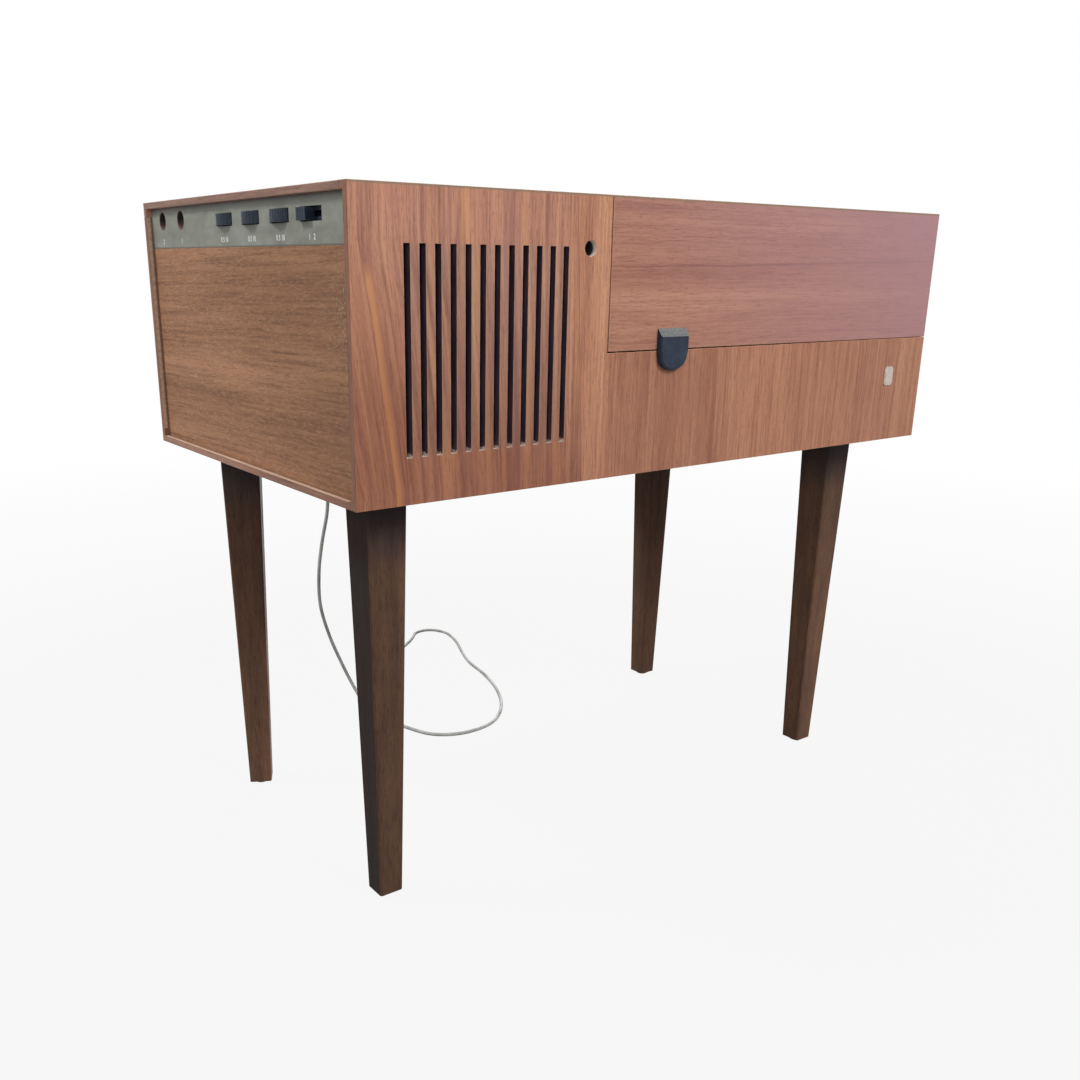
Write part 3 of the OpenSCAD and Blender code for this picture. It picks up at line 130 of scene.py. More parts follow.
class Tree:
    """The shader nodes of a material or of the world."""

    def __init__(self, owner):
        owner.use_nodes = True
        self.nodes = owner.node_tree.nodes
        self.join = owner.node_tree.links.new

    def feed(self, socket, value):
        """Gives a socket a pattern, a colour of the chart or plain numbers."""
        if isinstance(value, Pattern):
            self.join(value.socket, socket)
        elif socket.type == "RGBA" and len(value) == 3:
            socket.default_value = colour(*value)
        else:
            socket.default_value = value

    def pattern(self, kind, values=(), output=0, **settings):
        """What a new node puts out, with its settings made and its sockets fed."""
        node = self.nodes.new("ShaderNode" + kind)
        for name, value in settings.items():
            setattr(node, name, value)
        for socket, value in values.items() if isinstance(values, dict) else enumerate(values):
            self.feed(node.inputs[socket], value)
        return Pattern(self, node.outputs[output])

    def seen_white(self, shown, surface, share=None):
        """Shows a surface as plain white to the camera and in reflections, by a share."""
        rays = self.nodes.new("ShaderNodeLightPath").outputs
        seen = Pattern(self, rays["Is Camera Ray"])
        for kind in ("Is Glossy Ray", "Is Transmission Ray"):
            seen = seen.math("MAXIMUM", Pattern(self, rays[kind]))
        if share:
            seen = seen * share
        white = self.pattern("Emission")
        under = Pattern(self, self.nodes[surface].outputs[0])
        self.feed(self.nodes[shown].inputs["Surface"], self.pattern("MixShader", [seen, under, white]))


class Finish(Tree):
    """One surface finish: a shader, and the patterns that are worked into it."""

    def __init__(self, name, tint, roughness, shine=0.5, metal=0.0, glaze=0.0):
        self.material = bpy.data.materials.new(name)
        super().__init__(self.material)
        self.shader = self.nodes["Principled BSDF"]
        self.source = self.pattern("TexCoord", output="Object")
        for socket, value in (("Base Color", tint), ("Roughness", roughness), ("Metallic", metal),
                              ("Specular IOR Level", shine), ("Coat Weight", glaze)):
            self.set(socket, value)

    def set(self, socket, value):
        self.feed(self.shader.inputs[socket], value)

    def present(self, socket):
        """The pattern that the shader's socket has so far."""
        return Pattern(self, self.shader.inputs[socket].links[0].from_socket)

    def place(self, size=1, shift=(0, 0, 0), turn=(0, 0, 0)):
        """The piece's own coordinates, turned, then counted in cells of a size in metres."""
        size = size if isinstance(size, (tuple, list)) else (size,) * 3
        values = {"Vector": self.source, "Location": shift, "Rotation": turn, "Scale": size}
        return self.pattern("Mapping", values, vector_type="TEXTURE")

    def noise(self, size, detail=3, rough=0.5, warp=0, shift=(0, 0, 0), turn=(0, 0, 0)):
        """A cloud with cells of a size in metres, alike each way or one number for each axis."""
        return self.pattern("TexNoise", {
            "Vector": self.place(size, shift, turn), "Scale": 1, "Detail": detail,
            "Roughness": rough, "Distortion": warp})

    def spot(self):
        """The place of a point on the piece, as x, y and z in metres."""
        first = self.pattern("SeparateXYZ", [self.place()])
        return [Pattern(self, output) for output in first.socket.node.outputs]

    def reach(self, centre, axis):
        """Distance from a line through a centre, as for the rings of a turned piece."""
        kept = [axis != letter for letter in "XYZ"]
        flat = self.pattern("VectorMath", [self.place(shift=centre), kept], operation="MULTIPLY")
        return self.pattern("VectorMath", [flat], "Value", operation="LENGTH")

    def coat(self, share, tint, mode="MIX"):
        """Another colour over the present one, by a share."""
        self.set("Base Color", self.present("Base Color").mix(share, tint, mode))

    def relief(self, height, depth):
        """Small ups and downs of the surface, depth metres high."""
        values = {"Height": height, "Distance": depth}
        if self.shader.inputs["Normal"].is_linked:
            values["Normal"] = self.present("Normal")
        self.set("Normal", self.pattern("Bump", values))

    def worn(self, tint, share):
        """Lighter or darker arrises, where hands and cloths have been."""
        arris = self.pattern("Attribute", output="Fac", attribute_name="arris")
        patches = self.noise(0.02, 4).span(0.35, 0.65, 0.3, 1)
        self.coat(arris * patches * share, tint)


def meshed(bm, name):
    mesh = bpy.data.meshes.new(name)
    bm.to_mesh(mesh)
    bm.free()
    return mesh


ground = bmesh.new()
bmesh.ops.create_circle(ground, cap_ends=True, segments=96, radius=14)
floor = placed("floor", meshed(ground, "floor"))
floor_paint = Finish("floor_paint", (122, 120, 118), 0.9, shine=0.0)
floor.data.materials.append(floor_paint.material)
floor_paint.seen_white("Material Output", "Principled BSDF",
                       floor_paint.reach((0, 0, 0), "Z").span(0.6, 2.2, 0.91, 1.0))

world = bpy.data.worlds.new("surround")
bpy.context.scene.world = world
surround = Tree(world)
surround.feed(surround.nodes["Background"].inputs["Color"], (1, 1, 1, 1))
surround.feed(surround.nodes["Background"].inputs["Strength"], 0.32)
surround.seen_white("World Output", "Background")


def lamp(name, place, target, size, power):
    """A soft square lamp that looks at a point."""
    data = bpy.data.lights.new(name, "AREA")
    data.size = size
    data.energy = power
    holder = placed(name, data)
    holder.location = place
    aim = Vector(target) - Vector(place)
    holder.rotation_euler = aim.to_track_quat("-Z", "Y").to_euler()


lamp("front_lamp", (0.35, -1.9, 1.75), (0, 0, 0.45), 0.9, 34)
lamp("side_lamp", (-1.35, 0.75, 2.0), (-0.3, 0, 0.5), 0.45, 29)
lamp("fill_lamp", (-1.5, -1.4, 1.0), (-0.3, 0, 0.45), 0.7, 8)
lamp("rear_lamp", (1.7, 1.9, 1.6), (0, 0, 0.45), 1.0, 30)

# ---- mains lead
# A thin pale two-core lead, as sold with such a player. It comes out of the back cover through
# a rubber strain relief, and its unseen length lies coiled, with a moulded two-pin plug.
MM = 0.001
LEAD = [tuple(value * MM for value in point) for point in (
    (-130, 214, 392), (-130, 222, 391), (-130, 229.4, 386.8), (-130, 234, 380),
    (-129.5, 235.8, 370), (-128, 236, 350), (-127, 236, 320), (-128, 235, 285), (-130, 235, 250),
    (-138, 235, 215), (-143, 236, 180), (-142, 238, 140), (-131, 240, 100), (-117, 240, 64),
    (-106, 236, 36), (-98.5, 226, 16), (-92.5, 209, 5.6), (-87.5, 184, 2.7), (-81, 152, 2.2),
    (-66, 118, 2.2), (-34, 101, 2.2), (8, 106, 2.2), (44, 136, 2.2), (72, 182, 2.2), (91, 236, 2.2),
    (101, 286, 2.2), (116, 326, 2.2), (131, 360, 2.2), (140, 389.5, 2.2), (141.5, 407.5, 2.2),
    (134.4, 425.1, 2.2), (121, 432.5, 2.2), (105.1, 429.1, 2.2), (92.3, 416.1, 2.2),
    (73.7, 399.5, 2.2), (46, 381, 2.2), (14, 371.5, 2.2),
)]
LEAD_DIAMETER = 0.004
COIL_CENTRE = (-0.008, 0.342)
COIL_RADIUS = 0.029
COIL_PITCH = 0.0046
COIL_LOOPS = 5.25
STEPS_A_LOOP = 12

path = [Vector(point) for point in LEAD]
for step in range(int(COIL_LOOPS * STEPS_A_LOOP) + 1):
    done = step / STEPS_A_LOOP
    reach = COIL_RADIUS - COIL_PITCH * min(done, COIL_LOOPS - done)
    climb = min(1, max(0, (done - COIL_LOOPS / 2 + 0.25) / 0.5))
    turned = pi / 2 + 2 * pi * done
    path.append(Vector((
        COIL_CENTRE[0] + reach * cos(turned), COIL_CENTRE[1] + reach * sin(turned),
        LEAD[-1][2] + COIL_PITCH * climb,
    )))
plug_start = path[-1] + Vector((0, -4 * LEAD_DIAMETER, 0))
path.append(plug_start)

tube = bpy.data.curves.new("mains_lead", "CURVE")
tube.dimensions = "3D"
tube.bevel_depth = LEAD_DIAMETER / 2
tube.bevel_resolution = 3
tube.resolution_u = 6
tube.use_fill_caps = True
run = tube.splines.new("BEZIER")
run.bezier_points.add(len(path) - 1)
for index, spot in enumerate(run.bezier_points):
    before = path[max(index - 1, 0)]
    after = path[min(index + 1, len(path) - 1)]
    spot.handle_left_type = spot.handle_right_type = "FREE"
    spot.co = path[index]
    spot.handle_left = spot.co - (after - before) / 6
    spot.handle_right = spot.co + (after - before) / 6
lead = placed("mains_lead", tube)


def mottled(name, roughness, cloud, stops, gloss=None, bumps=None, depth=0.0, drawn=False, **more):
    """A finish whose colour varies with a cloud, and its gloss with the cloud or the bumps."""
    finish = Finish(name, stops[len(stops) // 2][1:], roughness, **more)
    finish.cloud = finish.noise(*cloud)
    finish.set("Base Color", finish.cloud.ramp(*stops))
    bumps = finish.noise(*bumps) if bumps else finish.cloud
    if gloss:
        finish.set("Roughness", (bumps if drawn else finish.cloud).span(0.3, 0.7, *gloss))
    if depth:
        finish.relief(bumps, depth)
    return finish


lead_plastic = mottled("lead_plastic", 0.45, (0.02, 5), [
    (0.35, 150, 150, 144), (0.6, 184, 186, 184)], (0.6, 0.42), (0.0008,), 0.00003)
tube.materials.append(lead_plastic.material)
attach(lead, "case")
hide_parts("mains_cord", "cord_coil")

ALONG = {"Y": Matrix.Rotation(-pi / 2, 4, "X"), "-Y": Matrix.Rotation(pi / 2, 4, "X"),
         "Z": Matrix.Identity(4)}


def add(bm, part, matrix=Matrix.Identity(4), finish=0):
    """Puts a shaped part in its place on a piece."""
    bmesh.ops.transform(part, matrix=matrix, verts=part.verts[:])
    for face in part.faces:
        face.material_index = finish
    shape = meshed(part, "part")
    bm.from_mesh(shape)
    bpy.data.meshes.remove(shape)


def turn(bm, profile, place=(0, 0, 0), along="Z", steps=48, finish=0):
    """A profile of (radius, height) pairs in millimetres, turned on the lathe round an axis."""
    part = bmesh.new()
    line = [part.verts.new((radius * MM, 0, height * MM)) for radius, height in profile]
    line += [part.edges.new(pair) for pair in zip(line, line[1:])]
    bmesh.ops.spin(part, geom=line, cent=(0, 0, 0), axis=(0, 0, 1), angle=2 * pi,
                   steps=steps, use_merge=True)
    bmesh.ops.remove_doubles(part, verts=part.verts[:], dist=1e-6)
    bmesh.ops.recalc_face_normals(part, faces=part.faces[:])
    add(bm, part, Matrix.Translation(place) @ ALONG[along], finish)


def ease(part, width, steps, sharper_than=30):
    """Rounds the outer edges of a part that are sharper than an angle."""
    edges = [
        edge for edge in part.edges
        if edge.is_manifold and edge.is_convex and edge.calc_face_angle() > radians(sharper_than)
    ]
    return bmesh.ops.bevel(part, geom=edges, offset=width, offset_type="OFFSET", segments=steps,
                           profile=0.5, affect="EDGES", material=-1, clamp_overlap=True)["faces"]


def plate(bm, outline, low, high, width, steps=2, finish=0, matrix=Matrix.Identity(4)):
    """A flat outline of (x, y) points, given a thickness and rounded edges."""
    part = bmesh.new()
    face = part.faces.new([part.verts.new((x, y, low)) for x, y in outline])
    raised = bmesh.ops.extrude_face_region(part, geom=[face])["geom"]
    risen = [item for item in raised if isinstance(item, bmesh.types.BMVert)]
    bmesh.ops.translate(part, verts=risen, vec=(0, 0, high - low))
    bmesh.ops.recalc_face_normals(part, faces=part.faces[:])
    ease(part, width, steps)
    add(bm, part, matrix, finish)


def block(bm, low, high, width, finish=0, matrix=Matrix.Identity(4)):
    """A block between two corners, with its edges cut off."""
    outline = [(low[0], low[1]), (high[0], low[1]), (high[0], high[1]), (low[0], high[1])]
    plate(bm, outline, low[2], high[2], width, 1, finish, matrix)


def settle(bm, name, finishes, stands_for=(), smooth=None, body="case"):
    """Makes a piece of a finished mesh, on its body, in place of the plain solids."""
    mesh = meshed(bm, name)
    for finish in finishes:
        mesh.materials.append(finish.material)
    piece = placed(name, mesh)
    if smooth:
        mesh.shade_smooth()
        mesh.set_sharp_from_angle(angle=radians(smooth))
        even = piece.modifiers.new("even_shading", "WEIGHTED_NORMAL")
        even.keep_sharp = True
        even.weight = 100
    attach(piece, body)
    if stands_for:
        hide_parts(*stands_for)
    return piece


rubber = mottled("black_rubber", 0.6, (0.012, 5, 0.6), [
    (0.4, 28, 28, 30), (0.75, 62, 60, 58)], (0.5, 0.75), (0.0006,), 0.00002)
gland = bmesh.new()
rings = []
for ring in range(6):
    reach, height = 5.4 - 0.4 * ring, 3.4 + 3.4 * ring
    rings += [(reach, height), (reach - 0.1, height + 2.0), (reach - 1.1, height + 2.4),
              (reach - 1.2, height + 3.1)]
turn(gland, [(0, -6), (7.6, -6), (8, -5.6), (8, -3), (6, -3), (6, 0), (7.4, 0), (8, 0.6), (8, 1.8),
             (7.4, 2.4), (5.6, 2.6), *rings, (2.9, 24), (2.2, 24.4), (0, 24.4)],
     (-0.13, 0.1896, 0.392), "Y", 40)
gland = settle(gland, "strain_relief", [rubber], ["cord_gland"], smooth=35)

black_plastic = mottled("black_plastic", 0.38, (0.015, 5, 0.6), [
    (0.35, 42, 47, 57), (0.7, 62, 69, 80)], (0.32, 0.5), (0.0012, 4), 0.00002)
nickel = mottled("nickel", 0.28, (0.004, 4), [
    (0.3, 168, 163, 154), (0.7, 206, 203, 196)], (0.22, 0.42), ((0.0004, 0.008, 0.004), 4),
    drawn=True, metal=1)

plug = bmesh.new()
PLUG = Matrix.Translation(plug_start) @ Matrix.Rotation(-pi / 2, 4, "Z")
neck, far, half, thick, corner = 0.008, 0.038, 0.017, 0.0066, 0.003
plate(plug, [
    (neck, -half / 2), (0.014, -half), (far - corner, -half), (far, corner - half),
    (far, half - corner), (far - corner, half), (0.014, half), (neck, half / 2),
], -thick, thick, 0.0022, 4, 0, PLUG)
turn(plug, [(0, 0), (2.4, 0), (3.4, 1), (3.2, 2.2), (2.6, 2.6), (2.6, 3.4), (3.4, 3.8), (3.4, 6),
            (2.8, 6.4), (3, 8.2), (0, 8.2)], plug_start, "-Y", 32)
for side in (-1, 1):
    turn(plug, [(0, 0), (2.8, 0), (2.8, 0.7), (2, 1.2), (2, 17.8), (1.6, 18.6), (0.9, 19), (0, 19)],
         plug_start + Vector((side * 0.0095, -far, 0)), "-Y", 24, 1)
for rib in range(5):
    start = 0.0145 + rib * 0.0032
    for side in (-1, 1):
        block(plug, (start, side * half - 0.0004, -0.0035), (start + 0.0014, side * half + 0.0002, 0.0035),
              0.0002, 0, PLUG)
plug = settle(plug, "moulded_plug", [black_plastic, nickel],
              ["mains_plug"], smooth=35)


# ---- front board
# One board for the whole front, faced with two upright sheets of teak veneer that meet right
# of the slots. Its twelve sound slots are stained black inside; their lower ends are raw cut
# wood, painted paler as painted light from above.
def grain(axis, wide, long):
    """Cell size of a pattern that is drawn out along the grain."""
    size = [wide] * 3
    size["XYZ".index(axis)] = long
    return size


def veneer(finish, axis, seed, tones, figure, streaks, share=0.55, lean=(0, 0, 0)):
    """One sheet of straight-grained veneer: broad figure and streaks; gives its open pores."""
    light, middle, low, dark = tones

    def grained(wide, long, detail, rough=0.5, warp=0):
        return finish.noise(grain(axis, wide, long), detail, rough, warp,
                            (seed, seed * 1.7, seed * 0.6), lean)

    finish.set("Base Color", grained(figure, figure * 22, 2, warp=0.35).ramp(
        (0.3, *low), (0.45, *middle), (0.56, *middle), (0.72, *light)))
    fine = grained(streaks, streaks * 42, 4, 0.64)
    finish.coat(fine.span(0.48, 0.7, 0, share), dark)
    finish.coat(fine.span(0.46, 0.28, 0, share * 0.8), light)
    ticks = grained(0.0009, 0.016, 2, 0.6)
    finish.coat(ticks.span(0.54, 0.72, 0, 0.52), dark)
    finish.coat(ticks.span(0.44, 0.26, 0, 0.42), light)
    open_pores = grained(0.00035, 0.006, 1).span(0.6, 0.68)
    finish.coat(open_pores * 0.45, dark)
    return open_pores


def faced(name, axis, seed, tones, figure, streaks, share=0.55, lean=(0, 0, 0), roughness=0.5,
          shine=0.2, depth=0.00006):
    """A finish of one sheet of veneer, with its pores open."""
    finish = Finish(name, tones[1], roughness, shine)
    finish.relief(veneer(finish, axis, seed, tones, figure, streaks, share, lean), -depth)
    return finish


def polished(finish, low, high, shift=0):
    """A thin satin coat, duller in some places than in others."""
    finish.set("Roughness", finish.noise(0.09, 4, shift=(shift, 0, 0)).span(0.3, 0.7, low, high))


def teak(name, axis, seed, tones, figure, streaks, share=0.55, roughness=0.5):
    """A veneered board's finish: satin, with rubbed arrises."""
    finish = faced(name, axis, seed, tones, figure, streaks, share, roughness=roughness)
    polished(finish, roughness - 0.07, roughness + 0.1, seed)
    finish.worn((196, 152, 124), 0.55)
    return finish


PINK_TEAK = ((206, 152, 124), (186, 132, 110), (160, 110, 94), (116, 74, 60))
FRONT_TEAK = ((202, 148, 116), (180, 125, 99), (164, 110, 86), (122, 78, 60))
front = Finish("front_veneer", PINK_TEAK[1], 0.5, shine=0.2)
x, y, z = front.spot()
swept_x = x - z.span(0.53, 0.36, 0, 0.026) * x.span(-0.3, -0.15, 1, 0.1)
straight = front.source
front.source = front.pattern("CombineXYZ", [swept_x, y, z])
left_pores = veneer(front, "Z", 3.1, PINK_TEAK, 0.009, 0.0045, 0.62)
bands = front.noise((0.007, 0.02, 0.3), 2, warp=0.25, shift=(0.4, 0, 0.1))
depth = x.span(-0.3, -0.27, 0.3, 1)
front.coat(depth * bands.span(0.52, 0.68, 0, 0.6), (206, 150, 108))
front.coat(depth * bands.span(0.44, 0.3, 0, 0.55), (148, 102, 94))
wobble = front.noise((0.03, 0.03, 0.06)).span(0.3, 0.7, -0.0012, 0.0012)
off_streak = swept_x + 0.3144 + wobble
streak = off_streak.span(-0.0026, -0.0014, 0, 0.72) * off_streak.span(0.0004, 0.006, 1, 0)
front.coat(streak * z.span(0.518, 0.505), (222, 160, 112))
# the left sheet darkens towards its lower left: partly its own figure, partly painted shade as of light
# from above
low_left_figure_and_shade = (z + x * 0.45).span(0.415, 0.285, 0, 0.85)
front.coat(low_left_figure_and_shade, (0.6, 0.5, 0.44, 1), "MULTIPLY")
front.source = straight
# the slats between the slots are tinted greyer and cooler
greyer_slat_tint = z.span(0.383, 0.39) * z.span(0.531, 0.527)
greyer_slat_tint = greyer_slat_tint * x.span(-0.285, -0.28, 0, 0.6) * x.span(-0.14, -0.144)
front.coat(greyer_slat_tint, (0.84, 0.98, 1.06, 1), "MULTIPLY")
left_sheet = front.present("Base Color")
right_pores = veneer(front, "Z", 7.7, FRONT_TEAK, 0.022, 0.003, 0.5)
under_lid = x.span(-0.1, -0.08) * x.span(-0.02, 0.09, 0.6, 0) + x.span(0.1, 0.26, 0, 0.4)
front.coat(under_lid, (0.76, 0.74, 0.76, 1), "MULTIPLY")
past_joint = x + 0.128 + (z - 0.459) * 0.056
side = past_joint.math("GREATER_THAN", 0)
joint_line = past_joint.math("ABSOLUTE").span(0.0002, 0.0006, 0.4, 0)
right_sheet = front.present("Base Color")
front.set("Base Color", left_sheet.mix(side, right_sheet))
front.coat(joint_line, FRONT_TEAK[3])
polished(front, 0.44, 0.6)
front.relief(left_pores.mix(side, right_pores), -0.00006)
front.worn((198, 156, 130), 0.55)


def olive_top_arris(finish):
    """The long upper arris of the front, coloured a dull olive brown."""
    x, y, z = finish.spot()
    finish.coat(z.span(0.564, 0.5648, 0, 0.8) * y.span(-0.1888, -0.1878, 1, 0), (140, 118, 98))


olive_top_arris(front)
slot_stain = mottled("slot_stain", 0.6, ((0.002, 0.004, 0.03), 4), [
    (0.35, 46, 40, 52), (0.7, 86, 68, 78)], depth=0.0001)
x, y, z = slot_stain.spot()
# the lowest part of each slot wall turns pale: raw cut wood, made paler as painted light from above
ragged = z + slot_stain.noise(0.003).span(0.3, 0.7, -0.0012, 0.0012)
slot_stain.coat(ragged.span(0.388, 0.3868), (226, 204, 190))
# raw cut wood of the slot bottoms and the lamp hole's wall, painted near white as painted light from above
raw_edge_painted_light = mottled("raw_edge_painted_light", 0.75, ((0.02, 0.0012, 0.02), 2), [
    (0.38, 208, 188, 174), (0.6, 236, 222, 212)], depth=0.0001)
x, y, z = raw_edge_painted_light.spot()
# painted shade darkens the upper, deeper part of the lamp hole's wall
raw_edge_painted_light.coat(y.span(-0.1868, -0.1848) * z.span(0.515, 0.519), (40, 34, 34))

LIPPING_TEAK = ((168, 124, 102), (144, 102, 84), (122, 84, 70), (78, 54, 46))
lipping = faced("teak_lipping", "Y", 1.3, LIPPING_TEAK, 0.012, 0.002, 0.5)
x, y, z = lipping.spot()
lipping.coat(z.span(0.45, 0.5), (1.0, 1.13, 1.25, 1), "MULTIPLY")
lipping.worn((176, 146, 128), 0.6)
lipping_upright = faced("teak_lipping_upright", "Z", 2.3, LIPPING_TEAK, 0.012, 0.002, 0.5)
lipping_upright.coat(1.0, (0.84, 0.8, 0.74, 1), "MULTIPLY")
lipping_upright.worn((150, 116, 96), 0.3)
# painted light: the inner faces of the lips are painted pale as if lit from the front, with painted shade
# in the corner against the panel
lip_inside_lit = mottled("painted_light_lip_inside", 0.55, ((0.003, 0.03, 0.003), 4), [
    (0.3, 186, 148, 122), (0.62, 216, 186, 164)])
x, y, z = lip_inside_lit.spot()
lip_inside_lit.coat(x.span(-0.3222, -0.321, 0, 0.75), (84, 56, 42))


def eased_copy(node, width=0.0006, steps=2, sharper_than=30):
    """The board as it was cut, as one joined mesh, with its arrises eased and marked as worn."""
    bm = bmesh.new()
    bm.from_mesh(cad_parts[node].data)
    bmesh.ops.remove_doubles(bm, verts=bm.verts[:], dist=1e-6)
    bmesh.ops.dissolve_limit(bm, angle_limit=radians(0.5), verts=bm.verts[:], edges=bm.edges[:])
    arris = bm.faces.layers.float.new("arris")
    for face in ease(bm, width, steps, sharper_than):
        face[arris] = 1
    return bm


def dress(name, node, finishes, width=0.0003, sharper_than=45, pick=None, body="case",
          smooth=30):
    """A piece in the shape it was cut or pressed to, with a finish picked for each face."""
    bm = eased_copy(node, width, 2, sharper_than)
    for face in bm.faces if pick else ():
        face.material_index = pick(face.calc_center_median(), face.normal)
    settle(bm, name, finishes, [node], smooth, body)


def board(name, node, finishes, pick=None, width=0.0006):
    dress(name, node, finishes, width, 30, pick, smooth=None)


LEFT_END = -0.325
FRONT_FACE = -0.19
SLOTS = ((-0.284, 0.385), (-0.141, 0.529))
LAMP = (-0.12, 0.5277)
LAMP_HOLE_RADIUS = 0.0062


def on_front(middle, normal):
    in_slot = (SLOTS[0][0] < middle.x < SLOTS[1][0] and SLOTS[0][1] < middle.z < SLOTS[1][1]
               and FRONT_FACE + 0.0005 < middle.y < FRONT_FACE + 0.0115)
    in_hole = (middle.xz - Vector(LAMP)).length < LAMP_HOLE_RADIUS
    if middle.x < LEFT_END + 0.001:
        return 3
    if abs(normal.y) > 0.5 or not (in_slot or in_hole):
        return 0
    return 2 if in_hole or normal.z > 0.9 else 1


board("slotted_front", "front_board", [front, slot_stain, raw_edge_painted_light, lipping_upright], on_front)

# ---- case boards
# The top, bottom, rear and right end boards are veneered too, and glued behind the front. The
# left ends of the top, bottom and rear boards are thinned to a lip that frames the end panel.
top_veneer = teak("top_veneer", "X", 5.2, PINK_TEAK, 0.06, 0.004, 0.5)
under_veneer = teak("under_veneer", "X", 8.4, (
    (164, 124, 98), (146, 108, 84), (130, 94, 74), (98, 68, 54)), 0.08, 0.006, 0.4, 0.65)
rear_veneer = teak("rear_veneer", "X", 2.9, (
    (172, 128, 100), (154, 112, 88), (136, 98, 78), (102, 70, 56)), 0.05, 0.005, 0.45, 0.6)
end_veneer = teak("end_veneer", "Z", 6.6, FRONT_TEAK, 0.045, 0.004)
for name, node, finish, edge, inside in (
        ("case_top", "top_board", top_veneer, lipping, (0, 0, 0)),
        ("case_bottom", "bottom_board", under_veneer, lipping, (0, 0, 1)),
        ("case_rear", "rear_board", rear_veneer, lipping_upright, (0, -1, 0))):
    def on_lip(middle, normal):
        if middle.x < LEFT_END + 0.0008:
            return 1
        return 2 if middle.x < LEFT_END + 0.015 and normal.dot(Vector(inside)) > 0.9 else 0

    board(name, node, [finish, edge, lip_inside_lit], on_lip)
board("case_right_end", "right_end_board", [end_veneer])
board("case_partition", "partition", [end_veneer])

# ---- left end
# A panel of plain matte teak ply stands back inside the lips, with its grain running level,
# short pale flecks and a few scuffs near the front. It is glued into the rebate.
panel = faced("end_panel_teak", "Y", 4.4, (
    (180, 134, 102), (158, 114, 86), (142, 100, 75), (98, 66, 50)),
    0.028, 0.003, 0.6, (radians(-1.5), 0, 0), 0.62, 0.15)
flecks = panel.noise(grain("Y", 0.0014, 0.006))
panel.coat(flecks.span(0.5, 0.7, 0, 0.28), (204, 164, 130))
x, y, z = panel.spot()
scuffs = panel.noise((0.003, 0.0022, 0.0016), 4, shift=(0.02, 0, 0))
near_front = y.span(-0.145, -0.172) * z.span(0.515, 0.495) * z.span(0.44, 0.47)
panel.coat(near_front * scuffs.span(0.58, 0.66, 0, 0.7), (190, 184, 160))
panel.coat(near_front * scuffs.span(0.42, 0.32, 0, 0.6), (88, 66, 52))
panel.coat((z - y).span(0.42, 0.56, 0, 0.62), (0.7, 0.68, 0.68, 1), "MULTIPLY")
panel.worn((176, 138, 112), 0.4)
board("left_end_panel", "end_panel", [panel], width=0.0004)

# ---- legs
# Four square legs of beech, tapered alike on all faces, stained very dark and lacquered. Each
# screws up against the bottom board and stands on a domed glide. The rear left one is turned.
LEG_WOOD = ((116, 88, 70), (98, 73, 58), (82, 61, 50), (36, 33, 38))
leg_stain = faced("leg_stain", "Z", 9.1, LEG_WOOD, 0.03, 0.006, 0.2, shine=0.03, depth=0.00004)
lacquer = leg_stain.noise((0.012, 0.012, 0.06), 4)
leg_stain.coat(lacquer.span(0.4, 0.7, 0, 0.3), LEG_WOOD[3])
x, y, z = leg_stain.spot()
# painted light: the lower parts of the legs, all but the front left, are brightened, so the upper parts
# under the case read as shaded
away = x + y * 2
painted_light_low_on_legs = away.span(-0.4, -0.1) * z.span(0.31, 0.16) * away.span(0.2, 0.4, 1, 0.4)
leg_stain.coat(painted_light_low_on_legs, (1.6, 1.53, 1.47, 1), "MULTIPLY")
# painted shade: the tops of the legs darken to a cool grey-brown under the case
leg_stain.coat(z.span(0.29, 0.345, 0, 0.85), (54, 54, 62))
leg_stain.set("Roughness", lacquer.span(0.3, 0.7, 0.3, 0.46))
leg_stain.worn((112, 86, 68), 0.5)
# a darker copy of the leg finish, painted shade on the front left leg's left face
leg_shade = faced("leg_painted_shade", "Z", 4.2, (
    (70, 54, 48), (58, 48, 45), (50, 41, 40), (34, 31, 36)),
    0.02, 0.004, 0.35, roughness=0.55, shine=0.02, depth=0.00004)
for corner in ("front_left", "front_right", "rear_left", "rear_right"):
    board("tapered_leg_" + corner, "leg_" + corner, [leg_stain, leg_shade],
          lambda middle, normal: normal.x < -0.8 and corner == "front_left", 0.0004)

glides = bmesh.new()
for foot in ((-0.273, -0.126, 0), (0.271, -0.126, 0), (-0.273, 0.128, 0), (0.271, 0.128, 0)):
    turn(glides, [(0, 0), (3, 0.1), (6, 0.7), (7.6, 1.8), (8, 3), (8, 3.8), (7.8, 4), (0, 4)],
         foot, steps=40)
settle(glides, "domed_glides", [rubber], ["leg_glides"], smooth=40)

# ---- lid boards
# The lid is the right part of the case top with its own piece of the front and right end. Its
# front has level grain with thin dark lines, and a painted pink-violet sheen towards the right.
LID_TEAK = ((190, 140, 116), (173, 123, 102), (162, 112, 94), (116, 74, 62))
lid_teak = faced("lid_front_teak", "X", 11.5, LID_TEAK, 0.02, 0.0024, 0.32)
lines = lid_teak.noise(grain("X", 0.0022, 0.22), 3, 0.6, shift=(2.2, 0, 0.4))
lid_teak.coat(lines.span(0.6, 0.76, 0, 0.4), LID_TEAK[3])
x, y, z = lid_teak.spot()
wobble = lid_teak.noise((0.05, 0.03, 0.03), 4).span(0.3, 0.7, 0.5155, 0.5171)
off_line = (z - x * 0.0175 - wobble).math("ABSOLUTE")
lid_teak.coat(off_line.span(0.0003, 0.0011, 0.5, 0), LID_TEAK[3])
